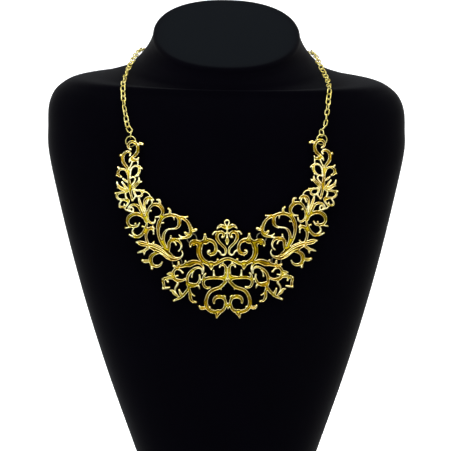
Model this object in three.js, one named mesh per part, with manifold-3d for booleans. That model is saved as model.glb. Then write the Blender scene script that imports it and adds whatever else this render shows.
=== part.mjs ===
// Bib choker of cast scrollwork on a neck bust.
//
// Millimetres, +Z up. The origin is the centre of the bust's foot. The bust faces -Y, and +X is on
// the right of someone who looks at its chest.
//
// Each cast plate is drawn flat first, as ribbons of metal that follow its scrolls, and is then laid
// over the chest. "Flat" coordinates are x, z and rise: rise 0 is the plate's back, and it grows
// away from the chest.

import * as THREE from "three";
import { mergeVertices } from "three/addons/utils/BufferGeometryUtils.js";
import Module from "manifold-3d";

const wasm = await Module();
wasm.setup();

// ---------------------------------------------------------------- driving dimensions

const SKIN_GAP = 2.5; // from the chest to the back of every plate
const PLATE_RISE = 1.6; // thickness of the cast scrolls
const SECTION_POWER = 2.2; // 2 makes the bust's sections ellipses, more makes them squarer

const LINK_RING_RADIUS = 3.1; // centre line of the four rings between the plates
const LINK_RING_WIRE = 0.75;
const RING_RISE = -0.75; // the rings lie behind the plates
const END_RING_RADIUS = 3.3; // centre line of the two rings that carry the chain
const END_RING_WIRE = 0.8;
const END_RING_LEAN = 10; // degrees that the top of an end ring leans out

const LUG = { depth: 2.2, wall: 0.8, bar: 0.7, width: 1.2, eye: 1.5 };

const LINK = { length: 5.5, width: 3.9, wire: 1.0, pitch: 3.74 };
const CHAIN_LIFT = 2.25; // from the bust to the chain's centre line
const LINK_PLAY = 0.3; // between a link and the ring or clasp that it hangs on
const CHAIN_SETTLE = 12; // length over which a chain comes down from its ring to the bust

// behind and height are the y and z of a point behind the neck, from which the clasp's place is found.
const CLASP = {
  length: 13, width: 6.4, thickness: 1.0, eye: 1.1, rim: 1.3, lift: 2.25, behind: 60, height: 288,
};

const BUST_TURNS = 40; // facets around the bust
const STEPS_PER_SPAN = 1; // ribbon steps between two points of a stroke
const OUTLINE_TOLERANCE = 0.08; // largest change when a plate's needless corners go

// ---------------------------------------------------------------- materials

const velvet = new THREE.MeshStandardMaterial({ color: 0x0b0b10, roughness: 0.95, metalness: 0 });
const castGold = new THREE.MeshStandardMaterial({ color: 0xc8aa3c, roughness: 0.35, metalness: 1 });
const wireGold = new THREE.MeshStandardMaterial({ color: 0xd2b450, roughness: 0.3, metalness: 1 });

// ---------------------------------------------------------------- tables

// Sections of the bust, from the foot to the rim of the flat top of the neck. front and back are
// the y of its surface at x = 0. tilt lifts the back of a section, and roll lifts its left side, in
// degrees.
const BUST_SECTIONS = [
  { z: 0, half: 53, front: -42, back: 38, tilt: 0, roll: 0 },
  { z: 5, half: 55.5, front: -43.5, back: 38, tilt: 0, roll: 0 },
  { z: 33, half: 65.5, front: -48, back: 38, tilt: 0, roll: 0 },
  { z: 74, half: 79.6, front: -53, back: 38, tilt: 0, roll: 0 },
  { z: 115, half: 92.3, front: -56, back: 38, tilt: 0, roll: 0 },
  { z: 155, half: 103.3, front: -56, back: 38, tilt: 0, roll: 0 },
  { z: 196, half: 113.2, front: -53, back: 38, tilt: 0, roll: 0 },
  { z: 223, half: 118.8, front: -49, back: 38, tilt: 0, roll: 0.3 },
  { z: 238.5, half: 119.2, front: -46, back: 38, tilt: 1, roll: 1 },
  { z: 250.5, half: 118.9, front: -42.5, back: 38.5, tilt: 3, roll: 1 },
  { z: 259, half: 116.4, front: -39.5, back: 39.5, tilt: 6, roll: 1 },
  { z: 265, half: 111.5, front: -37.5, back: 41, tilt: 8.5, roll: 1 },
  { z: 270, half: 102, front: -36.5, back: 42.5, tilt: 10, roll: 1 },
  { z: 272.3, half: 84, front: -36, back: 44, tilt: 12, roll: 1 },
  { z: 276, half: 68.5, front: -36, back: 46, tilt: 15, roll: 1 },
  { z: 281.5, half: 60.6, front: -36, back: 49, tilt: 19, roll: 1 },
  { z: 286.5, half: 55.6, front: -36, back: 52, tilt: 22.6, roll: 1 },
  { z: 291.7, half: 52, front: -36.3, back: 57, tilt: 25.6, roll: 1 },
  { z: 297.5, half: 49.8, front: -36.3, back: 61, tilt: 28, roll: 1 },
  { z: 301.4, half: 49.5, front: -36.2, back: 62, tilt: 28.7, roll: 1 },
];

// Strokes of the cast plates. widths are spread evenly along a stroke. path is a smooth line through
// its points, as x and z from the plate's own zero. The center plate's zero is its hub, and its side
// strokes are mirrored. A wing's zero is the bust's origin, and x grows outward on both wings.
const CENTER_AXIS_STROKES = [
  { name: "bud_stem", widths: [1.3, 1.2, 1.2], path: [[0, 34.8], [0, 31], [0, 27.2]] },
  { name: "bud", widths: [1, 2.8, 0.8], path: [[0, 28.2], [0, 25.7], [0, 23]] },
  { name: "volute_bridge", widths: [1.2, 2.2, 1.2], path: [[0, -14.8], [0, -16.5], [0, -18.6]] },
];

const CENTER_SIDE_STROKES = [
  { name: "drop_eye", widths: [1.1, 1.1, 1],
    path: [[0, 38.9], [1.15, 38.35], [1.45, 37.2], [0.9, 35.9], [0, 34.5]] },
  { name: "crown_leaf", widths: [1.3, 2.3, 2.5, 1.8],
    path: [[0.7, 33.3], [1.8, 34.4], [2.9, 35.1], [3.9, 35.6]] },
  { name: "crown_tail", widths: [1.8, 2, 1.8, 1.4, 1],
    path: [[3.4, 35.5], [4.6, 35.1], [5.5, 34.5], [6.1, 33.9], [6.5, 33.3]] },
  { name: "heart_curl", widths: [2.2, 1.9, 2.1, 2.3, 2.4, 2.3, 2.1],
    path: [[2.9, 27.9], [2.1, 29.4], [2.8, 30.8], [4.2, 31.2], [5.8, 30.6], [6.6, 29], [6.5, 27.2],
      [5.5, 25.2]] },
  { name: "heart_stem", widths: [2, 2, 1.9, 1.7, 1.4, 1.2, 1.3],
    path: [[6.3, 26.6], [5.1, 24.6], [3.1, 22.6], [1.5, 20.9], [1, 18.9], [1.3, 17.3], [2.6, 16.4],
      [4, 16.9], [4.8, 18.4], [6.3, 19.4]] },
  { name: "heart_leaf", widths: [0.9, 1.1, 1.3, 1.1],
    path: [[5.6, 31], [7, 31.5], [8.3, 31.1], [9.2, 29.8]] },
  { name: "inner_hook", widths: [1.2, 1.4, 1.8, 2.3, 2.7, 2.5, 2.2],
    path: [[11.5, 19.4], [12.5, 18.9], [12.4, 17.8], [11, 17], [9.2, 17.3], [7.8, 18.6], [7.2, 20.8]] },
  { name: "scroll_brow", widths: [2.2, 2.2, 2.4, 2.9, 3.3, 3.7],
    path: [[7.3, 20.4], [7.6, 22.6], [8.8, 24.7], [10.9, 25.8], [13.6, 25.9], [16.3, 24.6], [18, 22]] },
  { name: "scroll_cheek", widths: [3.7, 3.7, 3.4, 3, 2.6, 2.2, 2.1],
    path: [[17.4, 23.2], [18.2, 20.4], [18.1, 17.3], [16.9, 14.4], [14.7, 12.2], [11.8, 10.9],
      [8.8, 10.7], [6, 11.7], [3.6, 12.9], [1.6, 13.7], [0, 13.9]] },
  { name: "scroll_knob", widths: [5.8, 2.7, 1.6], path: [[14, 25.9], [14.2, 27.6], [14.3, 29.1]] },
  { name: "horn", widths: [3.4, 3.6, 3.4, 2.6, 1.3],
    path: [[18, 24.2], [20.6, 24.9], [22.6, 24.8], [23.7, 23.5], [23.8, 21.9]] },
  { name: "scroll_spur", widths: [5.4, 2.9, 0.7], path: [[10.7, 10.4], [10.6, 8.5], [10.5, 6.8]] },
  { name: "trunk", widths: [1.3, 1.6, 1.7, 2, 2.3, 2.5, 2.7, 2.6],
    path: [[5.1, 8.5], [4.6, 9.6], [3.2, 10.2], [1.8, 9.5], [1.15, 7.9], [1.05, 6], [1.1, 3.4],
      [1.3, 1.2], [1.6, -0.6]] },
  { name: "trunk_foot", widths: [1.4, 2.2, 2.4, 2.2],
    path: [[1.1, 5], [1.7, 3], [3.1, 1.9], [5.4, 1.6]] },
  { name: "side_loop", widths: [2.4, 2.2, 2.1, 2.1, 2.1, 2, 1.9, 1.9, 1.8, 1.4],
    path: [[2, 0.9], [4.4, 1.4], [7, 1.6], [10, 1.65], [12.8, 1.5], [14.9, 0.6], [15.8, -1.3],
      [15.2, -3.5], [13.5, -4.8], [11.3, -4.6]] },
  { name: "loop_post", widths: [2.8, 1.4, 1.2], path: [[8.7, 2], [8.9, 4.2], [9, 6.2]] },
  { name: "loop_ear", widths: [2, 1.9, 1.6, 1.2],
    path: [[15.5, -0.2], [15.5, 1.8], [15.1, 3.4], [14.3, 4.4]] },
  { name: "volute_stem", widths: [2.2, 2.3, 2.4, 2.3, 2.4, 2.4, 2.4, 2.5],
    path: [[1, -0.4], [2.8, -2.4], [4.8, -4.3], [7, -5.3], [9.3, -6], [11.7, -7.6], [13.3, -10.2],
      [14.2, -13.4]] },
  { name: "volute_ring", widths: [2.5, 2.8, 2.8, 2.7, 2.6, 2.4, 2.1, 1.9],
    path: [[14.2, -12.8], [14.2, -15.6], [13.4, -17.9], [11.6, -19.6], [9.2, -20.5], [6.4, -20.6],
      [3.9, -19.8], [2.3, -18], [1.6, -15.6], [1.7, -13.2]] },
  { name: "volute_eye", widths: [1.9, 2.2, 2.5, 2.6, 2.5, 2.2, 1.5],
    path: [[1.6, -13.8], [2.5, -12], [4.2, -10.9], [6.4, -10.7], [8.2, -11.5], [9.1, -13.1],
      [9, -14.9]] },
  { name: "volute_spur", widths: [4.8, 2.6, 1], path: [[6.6, -20.8], [7.1, -22.8], [7.5, -24.6]] },
  { name: "volute_ear", widths: [1.7, 2.3, 2.5, 1.3],
    path: [[14, -17.8], [15.9, -18], [17.5, -17.9], [18.5, -16.9]] },
  { name: "tail_scroll", widths: [1, 1.2, 1.5, 2.2, 2.8, 3.9, 4.2, 2.9, 2.2, 2],
    path: [[16.3, 4.2], [15.5, 6.4], [15.8, 8.8], [17.2, 10.9], [19.8, 11.9], [22.4, 11.6], [24.8, 10.7],
      [27, 10.2], [29.4, 9.4], [32, 9.1]] },
  { name: "tail_knob", widths: [2.4, 1.6], path: [[26.8, 11], [27.1, 12.4]] },
  { name: "tail_post", widths: [2.2, 2, 1.6], path: [[31.5, 9.4], [31.6, 10.9], [31.7, 11.9]] },
  { name: "tail_ear", widths: [2.6, 2.2, 1.2], path: [[31.8, 8.4], [33.6, 8.7], [35, 9.6]] },
  { name: "leaf_back", widths: [1.9, 2, 2.2, 2.5, 2.5, 1.7, 1.5],
    path: [[32.2, 8.4], [34, 7.3], [35.2, 5.6], [35.7, 3.6], [35, 1.8], [33.6, 0.6], [31.6, 0],
      [29.4, 0.1], [27.2, 1.2]] },
  { name: "leaf_leg", widths: [1.8, 1.5, 1.2], path: [[32.8, 7.7], [30.7, 6.8], [29.2, 5.2]] },
  { name: "leaf_tip", widths: [3.4, 2.6, 0.9], path: [[35.6, 4.2], [37.4, 4.4], [39.2, 4.3]] },
  { name: "leaf_heel", widths: [2.6, 2.6, 2.2, 1.2],
    path: [[35.2, 2], [37.4, 2.1], [39.4, 1.4], [38.8, -0.9]] },
  { name: "claw", widths: [1.7, 2.1, 2.1, 1.9, 1.8, 1.9],
    path: [[39, 1.5], [41, 1.2], [41.9, 0], [41.5, -2.2], [41.5, -4], [41.9, -5.1]] },
  { name: "claw_foot", widths: [2, 1.8, 1], path: [[41.8, -4.8], [39.8, -4.9], [37.5, -4.4]] },
  { name: "leaf_chain", widths: [1.4, 1.9, 1.6, 1.1, 1.1, 1.3],
    path: [[32.8, -0.4], [32.4, -2.2], [33.3, -3.6], [34.1, -5.2], [34.1, -7.2], [33.2, -9],
      [32.2, -10.6]] },
  { name: "foot_leaf", widths: [1.6, 1.9, 2, 1],
    path: [[32.8, -9.9], [34.8, -8.4], [35.9, -6.7], [37.4, -6.3]] },
  { name: "circle_top", widths: [1, 1.4, 1.6, 1.8, 2.1, 2.2, 2.1, 2.2],
    path: [[16.4, 4.6], [16.7, 7], [18.4, 8.3], [20.6, 8], [22.7, 6.9], [24.5, 5.1], [25.8, 2.8],
      [26.2, 0.4], [26, -2.2]] },
  { name: "comma", widths: [2.4, 2, 1.7, 2.1, 2.3, 1.8, 1.4],
    path: [[26, -1.4], [25.3, -4.4], [24.6, -7.2], [24.5, -9.8], [24.1, -12], [22.8, -13.7],
      [20.9, -14.1]] },
  { name: "circle_base", widths: [3, 3.3, 2.8, 2, 1.7, 1.4, 1.3],
    path: [[25.8, -2.4], [23.4, -3], [21.2, -2.9], [19.5, -2], [18.6, -0.6], [18, 1.4], [18.2, 3.4]] },
  { name: "loop_tie", widths: [1.8, 1.5, 1.6], path: [[15.4, 0.2], [17, 0.4], [18.5, 0.2]] },
  { name: "foot_stem", widths: [1.9, 2.1, 2.1, 1.7, 1.4],
    path: [[25.2, -4.6], [26.8, -7], [28.8, -9.3], [31, -11.2], [33.2, -12.2], [35, -13]] },
  { name: "foot_sprout", widths: [2.2, 1.9, 0.9], path: [[30, -9.8], [30.8, -8], [31.5, -5.9]] },
  { name: "curl_tie", widths: [1, 0.9], path: [[0, 30.5], [2.5, 30.4]] },
  { name: "trunk_tie", widths: [1.2, 1.1, 1.3], path: [[2.8, 10.3], [2.9, 11.6], [3.1, 12.7]] },
  { name: "scroll_tie", widths: [1.6, 1.4, 1.6], path: [[17.4, 11], [17, 12.2], [16.5, 13.4]] },
];

const WING_STROKES = [
  { name: "top_curl", widths: [1.2, 1.8, 2, 2, 2.1, 2.2, 2.3, 2.4, 2.2, 1.9],
    path: [[62.1, 225.8], [63.4, 226.8], [63.8, 228.6], [62.8, 230.2], [60.9, 230.7], [59, 230],
      [57.7, 228.2], [57.4, 226], [57.9, 223.9], [59.2, 222.2], [60.8, 220.8]] },
  { name: "top_ear", widths: [1.3, 1.9, 1.5], path: [[57.2, 228.9], [55.9, 229.7], [54.4, 229.2]] },
  { name: "second_curl", widths: [1.2, 1.7, 2.1, 2.4, 2.5, 2.3, 2, 1.8],
    path: [[62.6, 221.8], [62.3, 223.2], [63.6, 224.1], [65.5, 223.7], [67, 222], [67.4, 219.8],
      [66.9, 217.6], [65.7, 215.8], [64.4, 214.2], [63.4, 212.2]] },
  { name: "second_leaf", widths: [1.7, 1.6, 1], path: [[60.6, 221.2], [62.2, 219.7], [63.1, 217.6]] },
  { name: "third_curl", widths: [2.2, 2.4, 1.8, 1.1, 1.1],
    path: [[61.6, 219.8], [59.8, 218.9], [58.1, 218.8], [57.3, 217.4], [57.6, 215.4]] },
  { name: "third_stem", widths: [1.6, 1.3, 1.2, 1.4],
    path: [[60.9, 219.2], [61.3, 217], [62.2, 215], [63.1, 212.8]] },
  { name: "fourth_curl", widths: [1.2, 1.1, 1.2, 1.3, 1.5, 1.8, 1],
    path: [[62.4, 207.4], [62.2, 209.8], [61.9, 212.2], [60.8, 214.3], [58.8, 215.3], [56.9, 214.9],
      [54.3, 213.3]] },
  { name: "fourth_leaf", widths: [1.8, 2.1, 1.9, 1.5, 1.2],
    path: [[56.4, 214.3], [56.4, 212.2], [57, 210.4], [58, 209.3], [59.2, 208.4]] },
  { name: "fourth_hook", widths: [1.4, 1.2, 1.4, 1.5, 1.8],
    path: [[62, 207.4], [60.5, 208], [59.2, 207], [59.5, 205.3], [60.7, 203.6], [61.9, 201.8]] },
  { name: "fifth_leaf", widths: [1.3, 1.5, 2, 2.4, 2.3, 1.5, 0.8],
    path: [[59.6, 197], [60.1, 199.2], [60, 201.2], [58.7, 203], [57.2, 204.6], [56.6, 206.2],
      [56.7, 207.8]] },
  { name: "ring_curl", widths: [1.5, 1.4, 1.6, 1.6, 1.5, 1.3],
    path: [[59.9, 200.3], [58.2, 199.5], [56.4, 199.5], [54.9, 198.8], [54.4, 197.4], [55.2, 196],
      [56.8, 195.5], [58.3, 195.8], [59.2, 196.9]] },
  { name: "ring_stem", widths: [1.4, 1.2, 1.3, 1.6],
    path: [[59.5, 198.8], [59.2, 196.6], [59.3, 194.8], [61, 193.3]] },
  { name: "link_arch", widths: [1, 0.9, 1],
    path: [[54.3, 198.3], [52.6, 198.5], [51, 197.9], [49.8, 196.6], [49.4, 195.2]] },
  { name: "upper_stem", widths: [1.4, 1.9, 1.9, 1.9, 2.4, 3, 2, 1.6, 1.9],
    path: [[63.2, 213.6], [63.5, 211], [63.4, 208.2], [63.1, 205.4], [62.8, 202.8], [62.5, 200.2],
      [62.1, 197.6], [61.5, 195.2], [61, 193.2]] },
  { name: "left_curl", widths: [1.6, 1.6, 1.5, 1.9, 2.2, 1.6],
    path: [[64, 209.6], [64.7, 211.6], [66.2, 212.8], [68.2, 213], [69.8, 212], [70.5, 210.2],
      [69.8, 208.8], [68.4, 207.9]] },
  { name: "left_tip", widths: [1.6, 1.3, 0.8], path: [[68.6, 212.9], [69.6, 213.5], [70.6, 214.5]] },
  { name: "bract_one", widths: [1.2, 1.7, 0.8], path: [[64.3, 204.8], [65.9, 205.9], [67.3, 207.1]] },
  { name: "bract_two", widths: [2.2, 1.7, 1.5, 0.9],
    path: [[63.8, 199.2], [65.3, 201.2], [66.6, 203.2], [67.9, 204.9]] },
  { name: "bract_three", widths: [1.9, 2.2, 2.4, 2.1, 1.4, 0.7],
    path: [[64, 198.6], [66, 199.5], [68, 200.4], [69.7, 201.6], [70.7, 203.2], [71.1, 204.9]] },
  { name: "low_ring", widths: [1.7, 1.5, 1.6, 1.8, 1.5, 1.5, 1.6, 2.3],
    path: [[64.4, 198.9], [66.2, 198.2], [68.4, 197.8], [70.4, 197.1], [71.2, 195.4], [70.3, 193.9],
      [68.4, 193.2], [66.3, 193.2], [64.2, 192.7]] },
  { name: "low_ring_limb", widths: [1.6, 1.3, 1.5, 2.4],
    path: [[64.6, 199], [65.5, 196.8], [65.1, 194.6], [64, 192.7]] },
  { name: "under_ring", widths: [1.3, 1.3, 1.6, 1.8, 1.5, 1.4, 1.8],
    path: [[68, 192.8], [69, 191.2], [69.6, 189.8], [69.2, 188.8], [67.6, 188.4], [65.8, 188.7],
      [64.5, 189.9], [63.7, 191.4], [63.5, 192.8]] },
  { name: "elbow", widths: [1, 1.2, 1.5, 1.6],
    path: [[66.3, 188], [65.2, 186.7], [63.6, 186.3], [62, 185.7]] },
  { name: "shoulder", widths: [1.3, 1.4, 1.7, 1.9, 2, 1.9, 1.8],
    path: [[63.5, 186.4], [63.6, 187.8], [62.6, 189.2], [60.9, 190], [58.9, 190], [57.2, 189.1],
      [56, 187.3], [55, 185.4], [53.9, 183.6]] },
  { name: "shoulder_eye", widths: [1.1, 1.1, 1.1],
    path: [[62.6, 187.1], [61.8, 188.3], [60.6, 187.8], [60.4, 186.4], [61.4, 185.6], [62.4, 186.2]] },
  { name: "mid_volute", widths: [2.2, 2.3, 2.4, 2.4, 2.7, 2.8, 2.3, 1.9, 1.9, 1.7, 1],
    path: [[52.1, 179.4], [53, 181.6], [54.7, 183.1], [57, 184], [59.6, 184.1], [61.9, 183.2],
      [63.6, 181.4], [64.1, 179.1], [63.3, 177], [61.4, 176.1], [59.3, 176], [57.4, 176.6],
      [56.4, 178.2]] },
  { name: "bud_leaf", widths: [1.6, 1.9, 2, 1.9, 0.9],
    path: [[53.4, 184.8], [54.4, 187.4], [55.4, 190], [56.3, 192.4], [56.8, 194.9]] },
  { name: "bell_curl", widths: [1.6, 1.4, 1.5, 1.7, 2, 2, 1.3],
    path: [[51.9, 184.4], [52.5, 187], [53.1, 189.4], [53.2, 191.8], [52.4, 193.8], [50.6, 194.8],
      [48.7, 194.6], [47.3, 193.3]] },
  { name: "bell_tie", widths: [1.7, 1.4, 1.5], path: [[48.7, 194], [48.2, 192.3], [48, 190.4]] },
  { name: "round_curl", widths: [2, 1.8, 1.9, 2, 2.4, 2.8, 2.5, 1.9, 1.4, 1],
    path: [[51.4, 184], [50.4, 186.6], [49.5, 188.6], [47.6, 190.2], [45.3, 190.5], [43, 189.6],
      [41.5, 187.7], [41.2, 185.4], [42.3, 183.5], [44.2, 182.5], [46.2, 182.4]] },
  { name: "round_leaf", widths: [2.4, 1.9, 1.5, 0.9],
    path: [[43.3, 189.8], [43.1, 191.9], [43.6, 193.5], [44.9, 193.5]] },
  { name: "lobe", widths: [1.9, 1.5, 1.6, 1.6, 1.4, 1],
    path: [[51.3, 183.4], [50.8, 180.8], [49.7, 179.1], [47.9, 178.4], [46.4, 179.2], [46.1, 180.9]] },
  { name: "mid_stem", widths: [2.2, 2.1, 2, 1.5, 1.8, 2],
    path: [[52, 184.9], [51.6, 182.6], [51.6, 180.2], [51.6, 177.8], [52.1, 175.9], [52.8, 173.8]] },
  { name: "low_curl", widths: [1.8, 1.8, 2.1, 2.3, 2.3, 1.8, 1.3, 0.9],
    path: [[52.2, 175.6], [53.2, 173.6], [54.3, 171.6], [56, 170], [58.2, 169.3], [60.4, 169.5],
      [61.9, 169.9], [63.1, 170.6]] },
  { name: "low_curl_lip", widths: [1.7, 1.8, 1.5, 1.2, 1.3],
    path: [[58.8, 169.9], [60.6, 171.3], [61, 172.9], [60.3, 174.5], [59.9, 176]] },
  { name: "hook_curl", widths: [2.3, 1.9, 1.8, 2, 2.4, 2.7, 1.9, 1.3, 1],
    path: [[50.5, 164.4], [51.5, 167], [52, 169.4], [51.9, 171.8], [51, 173.9], [49.4, 174.9],
      [47.8, 174.3], [47.2, 172.9], [47.2, 171.4]] },
  { name: "great_limb", widths: [1.7, 2.3, 2.2, 1.9, 2.1, 2.7, 2.9, 2.6, 2.3, 2.2],
    path: [[38.7, 161.6], [41.2, 164.8], [43, 168], [44, 171.4], [44.2, 174.8], [43.7, 178],
      [42.5, 180.7], [40.5, 182.6], [38, 183.6], [35.2, 183.9]] },
  { name: "great_cheek", widths: [2.2, 2.2, 1.9, 1.8, 1.9, 2.1, 2.3, 2.5, 2.6, 2.3, 1.8, 1.4, 0.8],
    path: [[36.2, 183.9], [32.6, 183.3], [30.2, 182.4], [27.9, 181.6], [25.9, 180.3], [24.3, 178.2],
      [23.2, 175.6], [22.9, 172.9], [23.7, 170.7], [25.6, 169.5], [27.9, 169.3], [29.6, 169.9],
      [30.7, 171.1]] },
  { name: "great_leaf", widths: [2.6, 1.7, 1.5, 0.9],
    path: [[36.6, 184], [36.4, 186.2], [36.8, 187.5], [37.7, 187.9]] },
  { name: "inner_s", widths: [2.2, 2.6, 2.8, 2, 1.4, 1.1, 1.3, 1.9, 2.1, 2, 1.8, 1.6],
    path: [[31.9, 183], [30.5, 181.2], [30.3, 178.8], [30.9, 176.6], [32.6, 175.3], [35.2, 174.8],
      [37.8, 174.4], [39.6, 172.9], [40.6, 170.6], [40.8, 168], [40.2, 165.6], [39.1, 163.2]] },
  { name: "cheek_leaf", widths: [2.6, 2.5, 1.2], path: [[24, 171.2], [25.5, 171.4], [26.8, 172.6]] },
  { name: "cheek_ear", widths: [2.2, 2, 2], path: [[22.6, 173.9], [21, 173.9], [19.5, 174.4]] },
  { name: "c_top", widths: [2.2, 2.2, 2.4, 2.6, 2.6, 2, 1.7, 1.5, 1.2, 1],
    path: [[37.7, 160.4], [37.2, 163.2], [37.1, 165.6], [35.9, 167.3], [33.8, 167.9], [31.6, 167.5],
      [29.9, 166.1], [29.1, 164.1], [29.5, 162.1], [30.9, 160.6]] },
  { name: "c_tie", widths: [1.8, 1.5, 1.6], path: [[31.6, 168], [29.6, 168.6], [27.8, 169]] },
  { name: "c_base", widths: [3.4, 3.8, 4.4, 5, 5.2, 4.4, 3.2, 2, 1.4, 1.1, 0.8],
    path: [[46, 161.2], [43.4, 160.7], [41.2, 160], [39.3, 159], [37.2, 157.4], [34.7, 155.8],
      [32.3, 155.5], [30.3, 156], [28.7, 157.3], [28.2, 159], [28.9, 160.6]] },
  { name: "trunk", widths: [3.6, 4.8, 4.8, 3.8, 2.6],
    path: [[41, 160.7], [44, 161.6], [47, 162.9], [49.6, 163.7], [51.6, 164.2]] },
  { name: "long_leaf", widths: [2.2, 2.9, 3.5, 2.9, 0.9],
    path: [[50.4, 164.1], [52.8, 164.7], [55.2, 165.2], [57.2, 165.7], [58.5, 165.9]] },
  { name: "low_leaf", widths: [2.2, 2.1, 1.7, 1.4, 0.8],
    path: [[50.4, 162.6], [52.2, 161.2], [54, 160.2], [55.8, 159.7], [57.6, 159]] },
  { name: "c_curl", widths: [2.2, 2.3, 2.7, 3, 2.9, 2.5, 2.1, 1.9, 1.6, 0.9],
    path: [[43.6, 159.6], [46, 158.8], [48, 157.6], [49.1, 155.6], [49, 153.3], [47.9, 151.4],
      [46, 150.5], [44, 150.6], [42.4, 151.7], [41.5, 153.4]] },
  { name: "c_curl_leaf", widths: [1.8, 2.3, 2.3, 1.6],
    path: [[49.8, 153.8], [51.6, 153.6], [53.2, 153.6], [54.6, 154]] },
];

// Where each plate's drawing goes: mirror, then turn by degrees about a pivot, then shift.
const PLACES = {
  center: { mirror: 1, turn: 0.75, pivot: [0, 0], shift: [0.78, 141.79] },
  left: { mirror: -1, turn: 0, pivot: [0, 0], shift: [-0.11, 0] },
  right: { mirror: 1, turn: 0.48, pivot: [62, 231], shift: [-0.19, 1.16] },
};

// Each link ring runs through a lug of the centre plate and a lug of a wing, at these points.
const LINK_RINGS = [
  { name: "upper_ring", center: [22, 24.1], wing: [25, 170.1] },
  { name: "lower_ring", center: [32, 8.6], wing: [33.4, 155.7] },
];

// The end ring's centre in a wing's drawing, and the point where it runs through the wing's lug.
const END_RING = { at: [62.2, 230.9], wing: [59, 230] };

// Routes of the chains over the bust, from the end ring to the clasp.
const CHAIN_ROUTES = {
  left: [
    { x: -64, y: -43, z: 240 },
    { x: -66, y: -40, z: 249 },
    { x: -67.5, y: -35, z: 259 },
    { x: -67.7, y: -28, z: 267 },
    { x: -67, y: -16, z: 273.5 },
    { x: -65, y: -2.5, z: 279 },
    { x: -61.9, y: 8, z: 285 },
    { x: -58.7, y: 19, z: 289 },
    { x: -54.5, y: 29, z: 288.5 },
    { x: -48.5, y: 36.5, z: 286.5 },
    { x: -36, y: 42.5, z: 286.5 },
    { x: -20, y: 46.5, z: 288.5 },
  ],
  right: [
    { x: 64, y: -43, z: 240.5 },
    { x: 65.5, y: -39.5, z: 248.6 },
    { x: 66.9, y: -33.2, z: 259.5 },
    { x: 67.6, y: -30, z: 264.2 },
    { x: 67.3, y: -26, z: 266.7 },
    { x: 66.8, y: -17, z: 270 },
    { x: 65.2, y: -7.7, z: 274.3 },
    { x: 61.7, y: 4.1, z: 281.7 },
    { x: 58.8, y: 19, z: 287.2 },
    { x: 54.5, y: 29, z: 286.8 },
    { x: 48.5, y: 36.5, z: 285.5 },
    { x: 36, y: 42.5, z: 286 },
    { x: 20, y: 46.5, z: 288.5 },
  ],
};

// ---------------------------------------------------------------- the bust's surface

// A smooth value between the table's rows, at row number u.
function sectionValue(column, u) {
  const last = BUST_SECTIONS.length - 1;
  const row = Math.min(Math.floor(u), last - 1);
  const t = u - row;
  const value = (index) => BUST_SECTIONS[THREE.MathUtils.clamp(index, 0, last)][column];
  const before = value(row - 1);
  const start = value(row);
  const end = value(row + 1);
  const after = value(row + 2);
  const linear = (end - before) * t;
  const square = (2 * before - 5 * start + 4 * end - after) * t * t;
  const cube = (3 * start - before - 3 * end + after) * t * t * t;
  return 0.5 * (2 * start + linear + square + cube);
}

// The side of a superellipse: cos or sin with its sign kept.
function squared(value) {
  return Math.sign(value) * Math.abs(value) ** (2 / SECTION_POWER);
}

// The bust's surface at row number u and angle: 0 is +X, 90 degrees is the back.
function bustPoint(u, angle) {
  const front = sectionValue("front", u);
  const back = sectionValue("back", u);
  const tilt = THREE.MathUtils.degToRad(sectionValue("tilt", u));
  const depth = ((back - front) / 2) * squared(Math.sin(angle));
  const x = sectionValue("half", u) * squared(Math.cos(angle));
  const y = (front + back) / 2 + depth * Math.cos(tilt);
  const roll = THREE.MathUtils.degToRad(sectionValue("roll", u));
  const z = sectionValue("z", u) + depth * Math.sin(tilt) - x * Math.sin(roll);
  return new THREE.Vector3(x, y, z);
}

// The row number of a height on the chest.
function rowAt(z) {
  let low = 0;
  let high = BUST_SECTIONS.length - 1;
  for (let step = 0; step < 30; step += 1) {
    const middle = (low + high) / 2;
    if (sectionValue("z", middle) < z) low = middle;
    else high = middle;
  }
  return low;
}

// The y of the chest's surface at x and z, below the shoulders where sections are level.
function chestY(x, z) {
  const u = rowAt(z);
  const front = sectionValue("front", u);
  const back = sectionValue("back", u);
  const across = Math.min(Math.abs(x) / sectionValue("half", u), 1);
  const bulge = (1 - across ** SECTION_POWER) ** (1 / SECTION_POWER);
  return (front + back) / 2 - ((back - front) / 2) * bulge;
}

// Flat coordinates laid over the chest.
function layOnChest(x, z, rise) {
  return new THREE.Vector3(x, chestY(x, z) - SKIN_GAP - rise, z);
}

// Points and outward normals of the surface, for finding the place nearest to a point.
const SAMPLES = { firstRow: 4, rowStep: 0.1, turnStep: 2, firstTurn: 0.5, nudge: 0.01 };
const surfaceSamples = [];
for (let u = SAMPLES.firstRow; u < BUST_SECTIONS.length - 1; u += SAMPLES.rowStep) {
  for (let turn = SAMPLES.firstTurn; turn < 360; turn += SAMPLES.turnStep) {
    const angle = THREE.MathUtils.degToRad(turn);
    const point = bustPoint(u, angle);
    const around = bustPoint(u, angle + SAMPLES.nudge).sub(point);
    const upward = bustPoint(u + SAMPLES.nudge, angle).sub(point);
    surfaceSamples.push({ point, normal: around.cross(upward).normalize() });
  }
}

// The place on the bust's skin below a point: the skin point and its outward normal.
function skinBelow(point) {
  let nearest = surfaceSamples[0];
  for (const sample of surfaceSamples) {
    if (sample.point.distanceToSquared(point) < nearest.point.distanceToSquared(point)) nearest = sample;
  }
  const height = point.clone().sub(nearest.point).dot(nearest.normal);
  return { skin: point.clone().addScaledVector(nearest.normal, -height), normal: nearest.normal };
}

// ---------------------------------------------------------------- solids

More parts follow.
